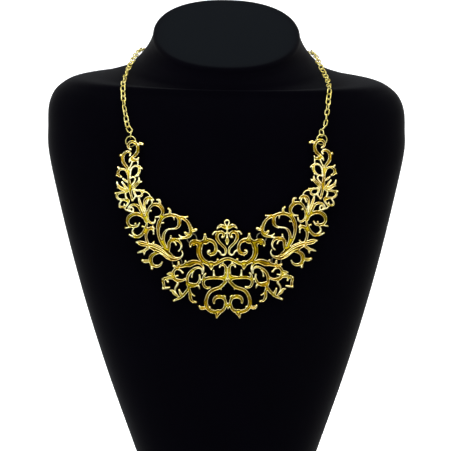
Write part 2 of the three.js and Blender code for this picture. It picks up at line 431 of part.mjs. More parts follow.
function toManifold(geometry) {
  const bare = geometry.index ? geometry.toNonIndexed() : geometry.clone();
  bare.deleteAttribute("normal");
  bare.deleteAttribute("uv");
  const merged = mergeVertices(bare, 1e-4);
  const vertProperties = new Float32Array(merged.attributes.position.array);
  const triVerts = new Uint32Array(merged.index.array);
  return new wasm.Manifold(new wasm.Mesh({ numProp: 3, vertProperties, triVerts }));
}

function toGeometry(manifold) {
  const mesh = manifold.getMesh();
  const geometry = new THREE.BufferGeometry();
  geometry.setAttribute("position", new THREE.BufferAttribute(mesh.vertProperties, 3));
  geometry.setIndex(new THREE.BufferAttribute(mesh.triVerts, 1));
  geometry.computeVertexNormals();
  return geometry;
}

function namedMesh(name, geometry, material) {
  const mesh = new THREE.Mesh(geometry, material);
  mesh.name = name;
  return mesh;
}

function neckBust() {
  const rows = BUST_SECTIONS.length;
  const positions = [];
  const triangles = [];
  for (let row = 0; row < rows; row += 1) {
    for (let turn = 0; turn < BUST_TURNS; turn += 1) {
      positions.push(...bustPoint(row, (turn / BUST_TURNS) * 2 * Math.PI).toArray());
    }
  }
  for (let row = 0; row < rows - 1; row += 1) {
    for (let turn = 0; turn < BUST_TURNS; turn += 1) {
      const here = row * BUST_TURNS + turn;
      const beside = row * BUST_TURNS + ((turn + 1) % BUST_TURNS);
      triangles.push(here, beside, beside + BUST_TURNS);
      triangles.push(here, beside + BUST_TURNS, here + BUST_TURNS);
    }
  }
  const top = (rows - 1) * BUST_TURNS;
  for (let turn = 1; turn < BUST_TURNS - 1; turn += 1) {
    triangles.push(0, turn + 1, turn);
    triangles.push(top, top + turn, top + turn + 1);
  }
  const geometry = new THREE.BufferGeometry();
  geometry.setAttribute("position", new THREE.Float32BufferAttribute(positions, 3));
  geometry.setIndex(triangles);
  geometry.computeVertexNormals();
  return namedMesh("neck_bust", geometry, velvet);
}

// ---------------------------------------------------------------- cast plates

// A point of a plate's drawing, put where the plate hangs.
function placePoint([x, z], place) {
  const turn = THREE.MathUtils.degToRad(place.turn);
  const across = place.mirror * x - place.pivot[0];
  const up = z - place.pivot[1];
  const placedX = place.pivot[0] + across * Math.cos(turn) - up * Math.sin(turn) + place.shift[0];
  const placedZ = place.pivot[1] + across * Math.sin(turn) + up * Math.cos(turn) + place.shift[1];
  return new THREE.Vector2(placedX, placedZ);
}

// The convex outline around a few points.
function convexOutline(points) {
  const sorted = [...points].sort((a, b) => a.x - b.x || a.y - b.y);
  const halfOutline = (list) => {
    const half = [];
    for (const point of list) {
      while (half.length > 1) {
        const edge = half[half.length - 1].clone().sub(half[half.length - 2]);
        const next = point.clone().sub(half[half.length - 1]);
        if (edge.cross(next) > 1e-9) break;
        half.pop();
      }
      half.push(point);
    }
    return half.slice(0, -1);
  };
  return [...halfOutline(sorted), ...halfOutline(sorted.reverse())];
}

function prism(outline, start, depth) {
  const geometry = new THREE.ExtrudeGeometry(new THREE.Shape(outline), { depth, bevelEnabled: false });
  geometry.translate(0, 0, start);
  return toManifold(geometry);
}

// A ribbon of metal along a stroke, as one prism for each of its steps.
function ribbon(stroke, place) {
  const line = new THREE.CatmullRomCurve3(
    stroke.path.map((point) => placePoint(point, place)).map(({ x, y }) => new THREE.Vector3(x, y, 0)),
    false,
    "centripetal",
  );
  const steps = (stroke.path.length - 1) * STEPS_PER_SPAN;
  const stations = Array.from({ length: steps + 1 }, (_, step) => line.getPoint(step / steps));
  const lengths = [0];
  for (let step = 1; step <= steps; step += 1) {
    lengths.push(lengths[step - 1] + stations[step].distanceTo(stations[step - 1]));
  }
  const edges = stations.map((station, step) => {
    const along = (lengths[step] / lengths[steps]) * (stroke.widths.length - 1);
    const column = Math.min(Math.floor(along), stroke.widths.length - 2);
    const width = THREE.MathUtils.lerp(stroke.widths[column], stroke.widths[column + 1], along - column);
    const ahead = stations[Math.min(step + 1, steps)];
    const behind = stations[Math.max(step - 1, 0)];
    const side = ahead.clone().sub(behind).normalize().multiplyScalar(width / 2);
    const left = new THREE.Vector2(station.x - side.y, station.y + side.x);
    const right = new THREE.Vector2(station.x + side.y, station.y - side.x);
    return [left, right];
  });
  return edges.slice(1).map((edge, step) => prism(convexOutline([...edge, ...edges[step]]), 0, PLATE_RISE));
}

// A staple on a plate's back around a ring's wire: two walls and a bar behind the wire. outward
// points from the ring's centre to the wire.
function lug(at, outward) {
  const side = new THREE.Vector2(-outward.y, outward.x).multiplyScalar(LUG.width / 2);
  const block = (near, far, start, depth) => {
    const inner = at.clone().addScaledVector(outward, near);
    const outer = at.clone().addScaledVector(outward, far);
    const corners = [inner.clone().add(side), inner.clone().sub(side)];
    corners.push(outer.clone().add(side), outer.clone().sub(side));
    return prism(convexOutline(corners), start, depth);
  };
  const reach = LUG.eye / 2 + LUG.wall;
  const seat = 0.4; // how far the walls go into the plate
  return [
    block(-reach, -LUG.eye / 2, -LUG.depth, LUG.depth + seat),
    block(LUG.eye / 2, reach, -LUG.depth, LUG.depth + seat),
    block(-reach, reach, -LUG.depth, LUG.bar),
  ];
}

// Lays a flat solid over the chest. x, y and z of the flat solid are x, z and rise.
function laidGeometry(flat) {
  const geometry = toGeometry(flat);
  const position = geometry.attributes.position;
  for (let vertex = 0; vertex < position.count; vertex += 1) {
    const laid = layOnChest(position.getX(vertex), position.getY(vertex), position.getZ(vertex));
    position.setXYZ(vertex, laid.x, laid.y, laid.z);
  }
  geometry.computeVertexNormals();
  return geometry;
}

function castPlate(name, ribbons, lugs) {
  const joined = wasm.Manifold.union([...ribbons.flat(), ...lugs.flat()]);
  const tidy = joined.asOriginal().simplify(OUTLINE_TOLERANCE);
  return namedMesh(name, laidGeometry(tidy), castGold);
}

// ---------------------------------------------------------------- rings

// The axes of a plate at a point of the chest: across, up, and out of the plate.
function chestAxes(at) {
  const step = 0.5;
  const across = layOnChest(at.x + step, at.y, 0).sub(layOnChest(at.x - step, at.y, 0)).normalize();
  const upward = layOnChest(at.x, at.y + step, 0).sub(layOnChest(at.x, at.y - step, 0)).normalize();
  const outward = across.clone().cross(upward).normalize();
  return { across, upward: outward.clone().cross(across), outward };
}

// A link ring through two lugs: its centre lies on the side of the lugs nearer to the hub.
function linkRing(row, side) {
  const centerSide = side === "left" ? -1 : 1;
  const lower = placePoint([centerSide * row.center[0], row.center[1]], PLACES.center);
  const upper = placePoint(row.wing, PLACES[side]);
  const half = upper.clone().sub(lower).multiplyScalar(0.5);
  const offset = Math.sqrt(LINK_RING_RADIUS ** 2 - half.lengthSq());
  const inward = new THREE.Vector2(-half.y, half.x).multiplyScalar(centerSide).normalize();
  const at = lower.clone().add(half).addScaledVector(inward, offset);
  return { name: `${side}_${row.name}`, at, lower, upper };
}

function linkRingMesh(ring) {
  const torus = new THREE.TorusGeometry(LINK_RING_RADIUS, LINK_RING_WIRE / 2, 5, 16);
  const mesh = namedMesh(ring.name, torus, wireGold);
  const { across, upward, outward } = chestAxes(ring.at);
  mesh.quaternion.setFromRotationMatrix(new THREE.Matrix4().makeBasis(across, upward, outward));
  mesh.position.copy(layOnChest(ring.at.x, ring.at.y, RING_RISE));
  return mesh;
}

// The end ring runs through a lug of a wing, and its top leans out. Its axes: across, pull towards
// the chain, and the ring's own axis.
function endRing(side) {
  const place = PLACES[side];
  const at = placePoint(END_RING.at, place);
  const lugAt = placePoint(END_RING.wing, place);
  const { across, upward, outward } = chestAxes(at);
  const lean = THREE.MathUtils.degToRad(END_RING_LEAN);
  const pull = upward.clone().multiplyScalar(Math.cos(lean)).addScaledVector(outward, Math.sin(lean));
  const axis = outward.clone().multiplyScalar(Math.cos(lean)).addScaledVector(upward, -Math.sin(lean));
  const center = layOnChest(at.x, at.y, RING_RISE);
  return { name: `${side}_end_ring`, at, lugAt, center, across, pull, axis };
}

function endRingMesh(ring) {
  const torus = new THREE.TorusGeometry(END_RING_RADIUS, END_RING_WIRE / 2, 6, 20);
  const mesh = namedMesh(ring.name, torus, wireGold);
  mesh.quaternion.setFromRotationMatrix(new THREE.Matrix4().makeBasis(ring.across, ring.pull, ring.axis));
  mesh.position.copy(ring.center);
  return mesh;
}

// ---------------------------------------------------------------- chains and clasp

// An oval link around the origin, long along x: a ring whose halves are moved apart.
function linkGeometry() {
  const bend = (LINK.width - LINK.wire) / 2;
  const geometry = new THREE.TorusGeometry(bend, LINK.wire / 2, 4, 6);
  const stretch = (LINK.length - LINK.width) / 2;
  const position = geometry.attributes.position;
  for (let vertex = 0; vertex < position.count; vertex += 1) {
    const x = position.getX(vertex);
    position.setX(vertex, x + Math.sign(x) * stretch);
  }
  return geometry;
}

// The clasp lies flat on the back of the neck. Its axes: x to the viewer's right, z out of the neck.
function claspPlace() {
  const { skin, normal } = skinBelow(new THREE.Vector3(0, CLASP.behind, CLASP.height));
  const across = new THREE.Vector3(1, 0, 0);
  const center = skin.clone().addScaledVector(normal, CLASP.lift);
  return { center, across, upward: normal.clone().cross(across).normalize(), outward: normal };
}

function claspEye(side) {
  const { center, across } = claspPlace();
  const reach = CLASP.length / 2 - CLASP.rim - CLASP.eye;
  return center.clone().addScaledVector(across, side === "left" ? -reach : reach);
}

function clasp() {
  const round = CLASP.width / 2;
  const flat = CLASP.length / 2 - round;
  const outline = new THREE.Shape();
  outline.absarc(flat, 0, round, -Math.PI / 2, Math.PI / 2);
  outline.absarc(-flat, 0, round, Math.PI / 2, (3 * Math.PI) / 2);
  const reach = CLASP.length / 2 - CLASP.rim - CLASP.eye;
  for (const x of [-reach, reach]) {
    const eye = new THREE.Path();
    eye.absarc(x, 0, CLASP.eye, 0, 2 * Math.PI, true);
    outline.holes.push(eye);
  }
  const geometry = new THREE.ExtrudeGeometry(outline, {
    depth: CLASP.thickness,
    bevelEnabled: false,
    curveSegments: 8,
  });
  geometry.translate(0, 0, -CLASP.thickness / 2);
  const mesh = namedMesh("clasp", geometry, wireGold);
  const { center, across, upward, outward } = claspPlace();
  mesh.quaternion.setFromRotationMatrix(new THREE.Matrix4().makeBasis(across, upward, outward));
  mesh.position.copy(center);
  return mesh;
}

// One chain, from the wire of its end ring to its eye of the clasp. Links stand on edge and lie flat
// in turn, and the first and the last stand on edge.
function chain(side, ring) {
  const start = ring.center.clone().addScaledVector(ring.pull, END_RING_RADIUS);
  const route = CHAIN_ROUTES[side].map(({ x, y, z }) => new THREE.Vector3(x, y, z));
  const firstLink = start.clone().addScaledVector(ring.pull, LINK.length / 2);
  const points = [start, firstLink, ...route, claspEye(side)];
  const line = new THREE.CatmullRomCurve3(points, false, "centripetal");
  line.arcLengthDivisions = 2000;
  const reach = (LINK.length - LINK.wire) / 2;
  const first = reach - (LINK.wire + END_RING_WIRE) / 2 - LINK_PLAY;
  const last = line.getLength() - reach;
  const pairs = Math.round((last - first) / LINK.pitch / 2);
  const pitch = (last - first) / (2 * pairs);
  const startLift = start.distanceTo(skinBelow(start).skin);
  const links = [];
  for (let index = 0; index <= 2 * pairs; index += 1) {
    const distance = first + index * pitch;
    const along = distance / line.getLength();
    const { skin, normal } = skinBelow(line.getPointAt(along));
    const settle = Math.max(0, 1 - distance / CHAIN_SETTLE);
    const lift = THREE.MathUtils.lerp(CHAIN_LIFT, startLift, settle);
    const tangent = line.getTangentAt(along).projectOnPlane(normal).normalize();
    const onEdge = index === 0 ? ring.axis.clone().projectOnPlane(tangent).normalize() : normal;
    const width = index % 2 === 0 ? onEdge : normal.clone().cross(tangent);
    const basis = new THREE.Matrix4().makeBasis(tangent, width, tangent.clone().cross(width));
    basis.setPosition(skin.clone().addScaledVector(normal, lift));
    links.push(toManifold(linkGeometry().applyMatrix4(basis)));
  }
  return namedMesh(`${side}_chain`, toGeometry(wasm.Manifold.union(links)), wireGold);
}

// ---------------------------------------------------------------- the necklace

const necklace = new THREE.Group();
necklace.add(neckBust());

const centerPlace = PLACES.center;
const mirroredPlace = { ...centerPlace, mirror: -1 };
const centerRibbons = [
  ...CENTER_AXIS_STROKES.map((stroke) => ribbon(stroke, centerPlace)),
  ...CENTER_SIDE_STROKES.map((stroke) => ribbon(stroke, centerPlace)),
  ...CENTER_SIDE_STROKES.map((stroke) => ribbon(stroke, mirroredPlace)),
];
const centerLugs = [];

for (const side of ["left", "right"]) {
  const rings = LINK_RINGS.map((row) => linkRing(row, side));
  const towards = (from, to) => to.clone().sub(from).normalize();
  centerLugs.push(rings.map((ring) => lug(ring.lower, towards(ring.at, ring.lower))));
  const end = endRing(side);
  const wingLugs = rings.map((ring) => lug(ring.upper, towards(ring.at, ring.upper)));
  wingLugs.push(lug(end.lugAt, towards(end.at, end.lugAt)));
  const wingRibbons = WING_STROKES.map((stroke) => ribbon(stroke, PLACES[side]));
  necklace.add(castPlate(`${side}_plate`, wingRibbons, wingLugs));
  rings.forEach((ring) => necklace.add(linkRingMesh(ring)));
  necklace.add(endRingMesh(end));
  necklace.add(chain(side, end));
}

necklace.add(castPlate("center_plate", centerRibbons, centerLugs.flat()));
necklace.add(clasp());

export default necklace;
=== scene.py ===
"""Looks of a bib choker of cast scrollwork on a velvet neck bust.

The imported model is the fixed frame: +Z up, the bust faces -Y, and the origin is the centre of its
foot. Each plate is drawn flat in millimetres, as x, z and rise above the plate's back, and is then
laid over the chest in metres. The bust's sections, the strokes, the rings' places and the chains'
routes are the ones that the model was made from.
"""

import logging
import math
from dataclasses import astuple, dataclass, field
from enum import Enum

import bpy
import numpy as np
from mathutils import Matrix, Vector


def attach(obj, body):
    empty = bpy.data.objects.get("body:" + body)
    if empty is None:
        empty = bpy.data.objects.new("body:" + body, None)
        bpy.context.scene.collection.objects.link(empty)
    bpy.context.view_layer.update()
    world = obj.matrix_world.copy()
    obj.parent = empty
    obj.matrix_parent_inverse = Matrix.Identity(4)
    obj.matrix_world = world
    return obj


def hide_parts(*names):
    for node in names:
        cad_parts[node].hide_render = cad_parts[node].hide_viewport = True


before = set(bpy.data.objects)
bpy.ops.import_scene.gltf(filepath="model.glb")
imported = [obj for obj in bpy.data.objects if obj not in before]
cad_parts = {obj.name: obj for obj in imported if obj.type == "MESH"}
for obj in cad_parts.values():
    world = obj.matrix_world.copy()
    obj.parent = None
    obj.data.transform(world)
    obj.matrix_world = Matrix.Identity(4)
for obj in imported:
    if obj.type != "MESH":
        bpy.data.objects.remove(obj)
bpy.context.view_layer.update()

Pair = tuple[float, float]
Triple = tuple[float, float, float]

LOG = logging.getLogger("choker")

MM = 0.001
BODY = "root"

SKIN_GAP = 2.5           # mm from the chest to the back of every plate
LINK_RING_RADIUS = 3.1   # mm, centre line of the rings between the plates
RING_RISE = -0.75        # mm, the rings lie behind the plates
SECTION_POWER = 2.2      # 2 makes the bust's sections ellipses, more makes them squarer
CREASE_DEG = 50          # edges of metal that turn by more than this are sharp


class Profile(Enum):
    """Cross-section of a cast stroke."""

    BAND = "a field between rims"
    LEAF = "a field between rims, with a vein along its middle"
    WIRE = "one round ridge"
    VEIN = "a small ridge on a field"
    KNOB = "a round dome"


BAND, LEAF, WIRE, VEIN, KNOB = Profile


@dataclass(frozen=True)
class Stroke:
    """One scroll, leaf or barb of a cast plate.

    Args:
        name: what the stroke is.
        profile: its cross-section.
        widths: its widths in mm, spread evenly along it.
        path: points in mm of the smooth line that it follows, as x and z.
    """

    name: str
    profile: Profile
    widths: tuple[float, ...]
    path: tuple[Pair, ...]


@dataclass(frozen=True)
class Section:
    """One section of the bust, in mm.

    Args:
        z: height of its middle.
        half: half its width.
        front: its y at x = 0 in front.
        back: its y at x = 0 behind.
        tilt: degrees by which its back is lifted.
        roll: degrees by which its left side is lifted.
    """

    z: float
    half: float
    front: float
    back: float
    tilt: float
    roll: float


BUST_SECTIONS: tuple[Section, ...] = (
    Section(0, 53, -42, 38, 0, 0),
    Section(5, 55.5, -43.5, 38, 0, 0),
    Section(33, 65.5, -48, 38, 0, 0),
    Section(74, 79.6, -53, 38, 0, 0),
    Section(115, 92.3, -56, 38, 0, 0),
    Section(155, 103.3, -56, 38, 0, 0),
    Section(196, 113.2, -53, 38, 0, 0),
    Section(223, 118.8, -49, 38, 0, 0.3),
    Section(238.5, 119.2, -46, 38, 1, 1),
    Section(250.5, 118.9, -42.5, 38.5, 3, 1),
    Section(259, 116.4, -39.5, 39.5, 6, 1),
    Section(265, 111.5, -37.5, 41, 8.5, 1),
    Section(270, 102, -36.5, 42.5, 10, 1),
    Section(272.3, 84, -36, 44, 12, 1),
    Section(276, 68.5, -36, 46, 15, 1),
    Section(281.5, 60.6, -36, 49, 19, 1),
    Section(286.5, 55.6, -36, 52, 22.6, 1),
    Section(291.7, 52, -36.3, 57, 25.6, 1),
    Section(297.5, 49.8, -36.3, 61, 28, 1),
    Section(301.4, 49.5, -36.2, 62, 28.7, 1),
)

# The strokes of the plates. The center plate's zero is its hub, and its side strokes and knobs are
# mirrored. A wing's zero is the bust's origin, and x grows outward on both wings. A knob's columns are
# x, z and radius.
CENTER_AXIS_STROKES: tuple[Stroke, ...] = (
    Stroke("bud_stem", WIRE, (1.3, 1.2, 1.2), ((0, 34.8), (0, 31), (0, 27.2))),
    Stroke("bud", LEAF, (1, 2.8, 0.8), ((0, 28.2), (0, 25.7), (0, 23))),
    Stroke("volute_bridge", BAND, (1.2, 2.2, 1.2), ((0, -14.8), (0, -16.5), (0, -18.6))),
)

CENTER_SIDE_STROKES: tuple[Stroke, ...] = (
    Stroke("drop_eye", WIRE, (1.1, 1.1, 1),
        ((0, 38.9), (1.15, 38.35), (1.45, 37.2), (0.9, 35.9), (0, 34.5))),
    Stroke("crown_leaf", BAND, (1.3, 2.3, 2.5, 1.8),
        ((0.7, 33.3), (1.8, 34.4), (2.9, 35.1), (3.9, 35.6))),
    Stroke("crown_tail", BAND, (1.8, 2, 1.8, 1.4, 1),
        ((3.4, 35.5), (4.6, 35.1), (5.5, 34.5), (6.1, 33.9), (6.5, 33.3))),
    Stroke("heart_curl", BAND, (2.2, 1.9, 2.1, 2.3, 2.4, 2.3, 2.1),
        ((2.9, 27.9), (2.1, 29.4), (2.8, 30.8), (4.2, 31.2), (5.8, 30.6), (6.6, 29), (6.5, 27.2),
         (5.5, 25.2))),
    Stroke("heart_stem", BAND, (2, 2, 1.9, 1.7, 1.4, 1.2, 1.3),
        ((6.3, 26.6), (5.1, 24.6), (3.1, 22.6), (1.5, 20.9), (1, 18.9), (1.3, 17.3), (2.6, 16.4),
         (4, 16.9), (4.8, 18.4), (6.3, 19.4))),
    Stroke("heart_leaf", WIRE, (0.9, 1.1, 1.3, 1.1),
        ((5.6, 31), (7, 31.5), (8.3, 31.1), (9.2, 29.8))),
    Stroke("inner_hook", BAND, (1.2, 1.4, 1.8, 2.3, 2.7, 2.5, 2.2),
        ((11.5, 19.4), (12.5, 18.9), (12.4, 17.8), (11, 17), (9.2, 17.3), (7.8, 18.6), (7.2, 20.8))),
    Stroke("scroll_brow", BAND, (2.2, 2.2, 2.4, 2.9, 3.3, 3.7),
        ((7.3, 20.4), (7.6, 22.6), (8.8, 24.7), (10.9, 25.8), (13.6, 25.9), (16.3, 24.6), (18, 22))),
    Stroke("scroll_cheek", BAND, (3.7, 3.7, 3.4, 3, 2.6, 2.2, 2.1),
        ((17.4, 23.2), (18.2, 20.4), (18.1, 17.3), (16.9, 14.4), (14.7, 12.2), (11.8, 10.9), (8.8, 10.7),
         (6, 11.7), (3.6, 12.9), (1.6, 13.7), (0, 13.9))),
    Stroke("scroll_knob", LEAF, (5.8, 2.7, 1.6), ((14, 25.9), (14.2, 27.6), (14.3, 29.1))),
    Stroke("hook_barb", WIRE, (1.8, 0.8), ((10.8, 16.9), (10.8, 15.5))),
    Stroke("horn", BAND, (3.4, 3.6, 3.4, 2.6, 1.3),
        ((18, 24.2), (20.6, 24.9), (22.6, 24.8), (23.7, 23.5), (23.8, 21.9))),
    Stroke("scroll_spur", LEAF, (5.4, 2.9, 0.7), ((10.7, 10.4), (10.6, 8.5), (10.5, 6.8))),
    Stroke("arch_knob", WIRE, (2.4, 2, 1.6), ((5.8, 11.7), (6.2, 12.7), (6.3, 13.3))),
    Stroke("trunk", BAND, (1.3, 1.6, 1.7, 2, 2.3, 2.5, 2.7, 2.6),
        ((5.1, 8.5), (4.6, 9.6), (3.2, 10.2), (1.8, 9.5), (1.15, 7.9), (1.05, 6), (1.1, 3.4), (1.3, 1.2),
         (1.6, -0.6))),
    Stroke("trunk_foot", BAND, (1.4, 2.2, 2.4, 2.2), ((1.1, 5), (1.7, 3), (3.1, 1.9), (5.4, 1.6))),
    Stroke("side_loop", BAND, (2.4, 2.2, 2.1, 2.1, 2.1, 2, 1.9, 1.9, 1.8, 1.4),
        ((2, 0.9), (4.4, 1.4), (7, 1.6), (10, 1.65), (12.8, 1.5), (14.9, 0.6), (15.8, -1.3),
         (15.2, -3.5), (13.5, -4.8), (11.3, -4.6))),
    Stroke("loop_post", WIRE, (2.8, 1.4, 1.2), ((8.7, 2), (8.9, 4.2), (9, 6.2))),
    Stroke("loop_ear", BAND, (2, 1.9, 1.6, 1.2),
        ((15.5, -0.2), (15.5, 1.8), (15.1, 3.4), (14.3, 4.4))),
    Stroke("volute_stem", BAND, (2.2, 2.3, 2.4, 2.3, 2.4, 2.4, 2.4, 2.5),
        ((1, -0.4), (2.8, -2.4), (4.8, -4.3), (7, -5.3), (9.3, -6), (11.7, -7.6), (13.3, -10.2),
         (14.2, -13.4))),
    Stroke("volute_ring", BAND, (2.5, 2.8, 2.8, 2.7, 2.6, 2.4, 2.1, 1.9),
        ((14.2, -12.8), (14.2, -15.6), (13.4, -17.9), (11.6, -19.6), (9.2, -20.5), (6.4, -20.6),
         (3.9, -19.8), (2.3, -18), (1.6, -15.6), (1.7, -13.2))),
    Stroke("volute_eye", BAND, (1.9, 2.2, 2.5, 2.6, 2.5, 2.2, 1.5),
        ((1.6, -13.8), (2.5, -12), (4.2, -10.9), (6.4, -10.7), (8.2, -11.5), (9.1, -13.1), (9, -14.9))),
    Stroke("volute_spur", LEAF, (4.8, 2.6, 1), ((6.6, -20.8), (7.1, -22.8), (7.5, -24.6))),
    Stroke("volute_toe", WIRE, (1.8, 1.3, 0.9), ((3.1, -10.8), (2.3, -10.3), (1.5, -10.9))),
    Stroke("volute_ear", LEAF, (1.7, 2.3, 2.5, 1.3),
        ((14, -17.8), (15.9, -18), (17.5, -17.9), (18.5, -16.9))),
    Stroke("stem_cusp", WIRE, (1.8, 1), ((4.9, -4.8), (4.2, -6.1))),
    Stroke("tail_scroll", BAND, (1, 1.2, 1.5, 2.2, 2.8, 3.9, 4.2, 2.9, 2.2, 2),
        ((16.3, 4.2), (15.5, 6.4), (15.8, 8.8), (17.2, 10.9), (19.8, 11.9), (22.4, 11.6), (24.8, 10.7),
         (27, 10.2), (29.4, 9.4), (32, 9.1))),
    Stroke("tail_knob", WIRE, (2.4, 1.6), ((26.8, 11), (27.1, 12.4))),
    Stroke("tail_post", WIRE, (2.2, 2, 1.6), ((31.5, 9.4), (31.6, 10.9), (31.7, 11.9))),
    Stroke("tail_ear", LEAF, (2.6, 2.2, 1.2), ((31.8, 8.4), (33.6, 8.7), (35, 9.6))),
    Stroke("leaf_back", BAND, (1.9, 2, 2.2, 2.5, 2.5, 1.7, 1.5),
        ((32.2, 8.4), (34, 7.3), (35.2, 5.6), (35.7, 3.6), (35, 1.8), (33.6, 0.6), (31.6, 0),
         (29.4, 0.1), (27.2, 1.2))),
    Stroke("leaf_leg", WIRE, (1.8, 1.5, 1.2), ((32.8, 7.7), (30.7, 6.8), (29.2, 5.2))),
    Stroke("leaf_tip", LEAF, (3.4, 2.6, 0.9), ((35.6, 4.2), (37.4, 4.4), (39.2, 4.3))),
    Stroke("leaf_heel", LEAF, (2.6, 2.6, 2.2, 1.2),
        ((35.2, 2), (37.4, 2.1), (39.4, 1.4), (38.8, -0.9))),
    Stroke("leaf_barb", WIRE, (2, 1.3, 1), ((35, 2.6), (33.5, 2.9), (32.3, 3.2))),
    Stroke("claw", BAND, (1.7, 2.1, 2.1, 1.9, 1.8, 1.9),
        ((39, 1.5), (41, 1.2), (41.9, 0), (41.5, -2.2), (41.5, -4), (41.9, -5.1))),
    Stroke("claw_foot", WIRE, (2, 1.8, 1), ((41.8, -4.8), (39.8, -4.9), (37.5, -4.4))),
    Stroke("leaf_chain", WIRE, (1.4, 1.9, 1.6, 1.1, 1.1, 1.3),
        ((32.8, -0.4), (32.4, -2.2), (33.3, -3.6), (34.1, -5.2), (34.1, -7.2), (33.2, -9),
         (32.2, -10.6))),
    Stroke("foot_leaf", LEAF, (1.6, 1.9, 2, 1),
        ((32.8, -9.9), (34.8, -8.4), (35.9, -6.7), (37.4, -6.3))),
    Stroke("circle_top", BAND, (1, 1.4, 1.6, 1.8, 2.1, 2.2, 2.1, 2.2),
        ((16.4, 4.6), (16.7, 7), (18.4, 8.3), (20.6, 8), (22.7, 6.9), (24.5, 5.1), (25.8, 2.8),
         (26.2, 0.4), (26, -2.2))),
    Stroke("comma", BAND, (2.4, 2, 1.7, 2.1, 2.3, 1.8, 1.4),
        ((26, -1.4), (25.3, -4.4), (24.6, -7.2), (24.5, -9.8), (24.1, -12), (22.8, -13.7),
         (20.9, -14.1))),
    Stroke("comma_barb", WIRE, (1.5, 1.2, 0.9), ((23.9, -8.4), (22.6, -9.5), (21.7, -10))),
    Stroke("circle_pip", WIRE, (1.3, 1, 1.1), ((21.7, 6.8), (22.8, 4.6), (23.2, 2.3))),
    Stroke("circle_base", BAND, (3, 3.3, 2.8, 2, 1.7, 1.4, 1.3),
        ((25.8, -2.4), (23.4, -3), (21.2, -2.9), (19.5, -2), (18.6, -0.6), (18, 1.4), (18.2, 3.4))),
    Stroke("base_toe", WIRE, (2, 1.6, 0.8), ((19.7, -2.6), (18.7, -4), (18.2, -5.5))),
    Stroke("base_barb", WIRE, (1.3, 0.7), ((18.7, -0.6), (17.4, -1.6))),
    Stroke("loop_tie", WIRE, (1.8, 1.5, 1.6), ((15.4, 0.2), (17, 0.4), (18.5, 0.2))),
    Stroke("foot_stem", BAND, (1.9, 2.1, 2.1, 1.7, 1.4),
        ((25.2, -4.6), (26.8, -7), (28.8, -9.3), (31, -11.2), (33.2, -12.2), (35, -13))),
    Stroke("foot_sprout", LEAF, (2.2, 1.9, 0.9), ((30, -9.8), (30.8, -8), (31.5, -5.9))),
    Stroke("curl_tie", WIRE, (1, 0.9), ((0, 30.5), (2.5, 30.4))),
    Stroke("trunk_tie", WIRE, (1.2, 1.1, 1.3), ((2.8, 10.3), (2.9, 11.6), (3.1, 12.7))),
    Stroke("scroll_tie", WIRE, (1.6, 1.4, 1.6), ((17.4, 11), (17, 12.2), (16.5, 13.4))),
)

CENTER_SIDE_KNOBS: tuple[Triple, ...] = (
    (3.7, 35.8, 0.8), (9.2, 29.9, 0.7), (3, 28, 1.05), (11.5, 19.2, 0.7), (14.3, 29.6, 1),
    (23.8, 21.9, 0.7), (6.3, 13.4, 0.9), (5.1, 8.5, 0.65), (9, 6.2, 0.7), (14.3, 4.4, 0.7),
    (1.6, -10.8, 0.5), (18.5, -16.8, 0.7), (11.9, -17.6, 0.9), (27.2, 12.5, 0.85), (31.7, 11.9, 0.85),
    (35, 9.6, 0.75), (29.1, 5.1, 0.85), (38.8, -0.9, 0.75), (32.3, 3.2, 0.6), (42.2, 0.8, 0.8),
    (41.9, -5.2, 0.9), (20.9, -14.1, 0.85), (21.7, -10, 0.6), (23.2, 2.3, 0.7), (18.2, 3.4, 0.75),
    (35, -13.1, 0.85), (31.5, -5.9, 0.55), (16.4, 4.3, 0.6),
)

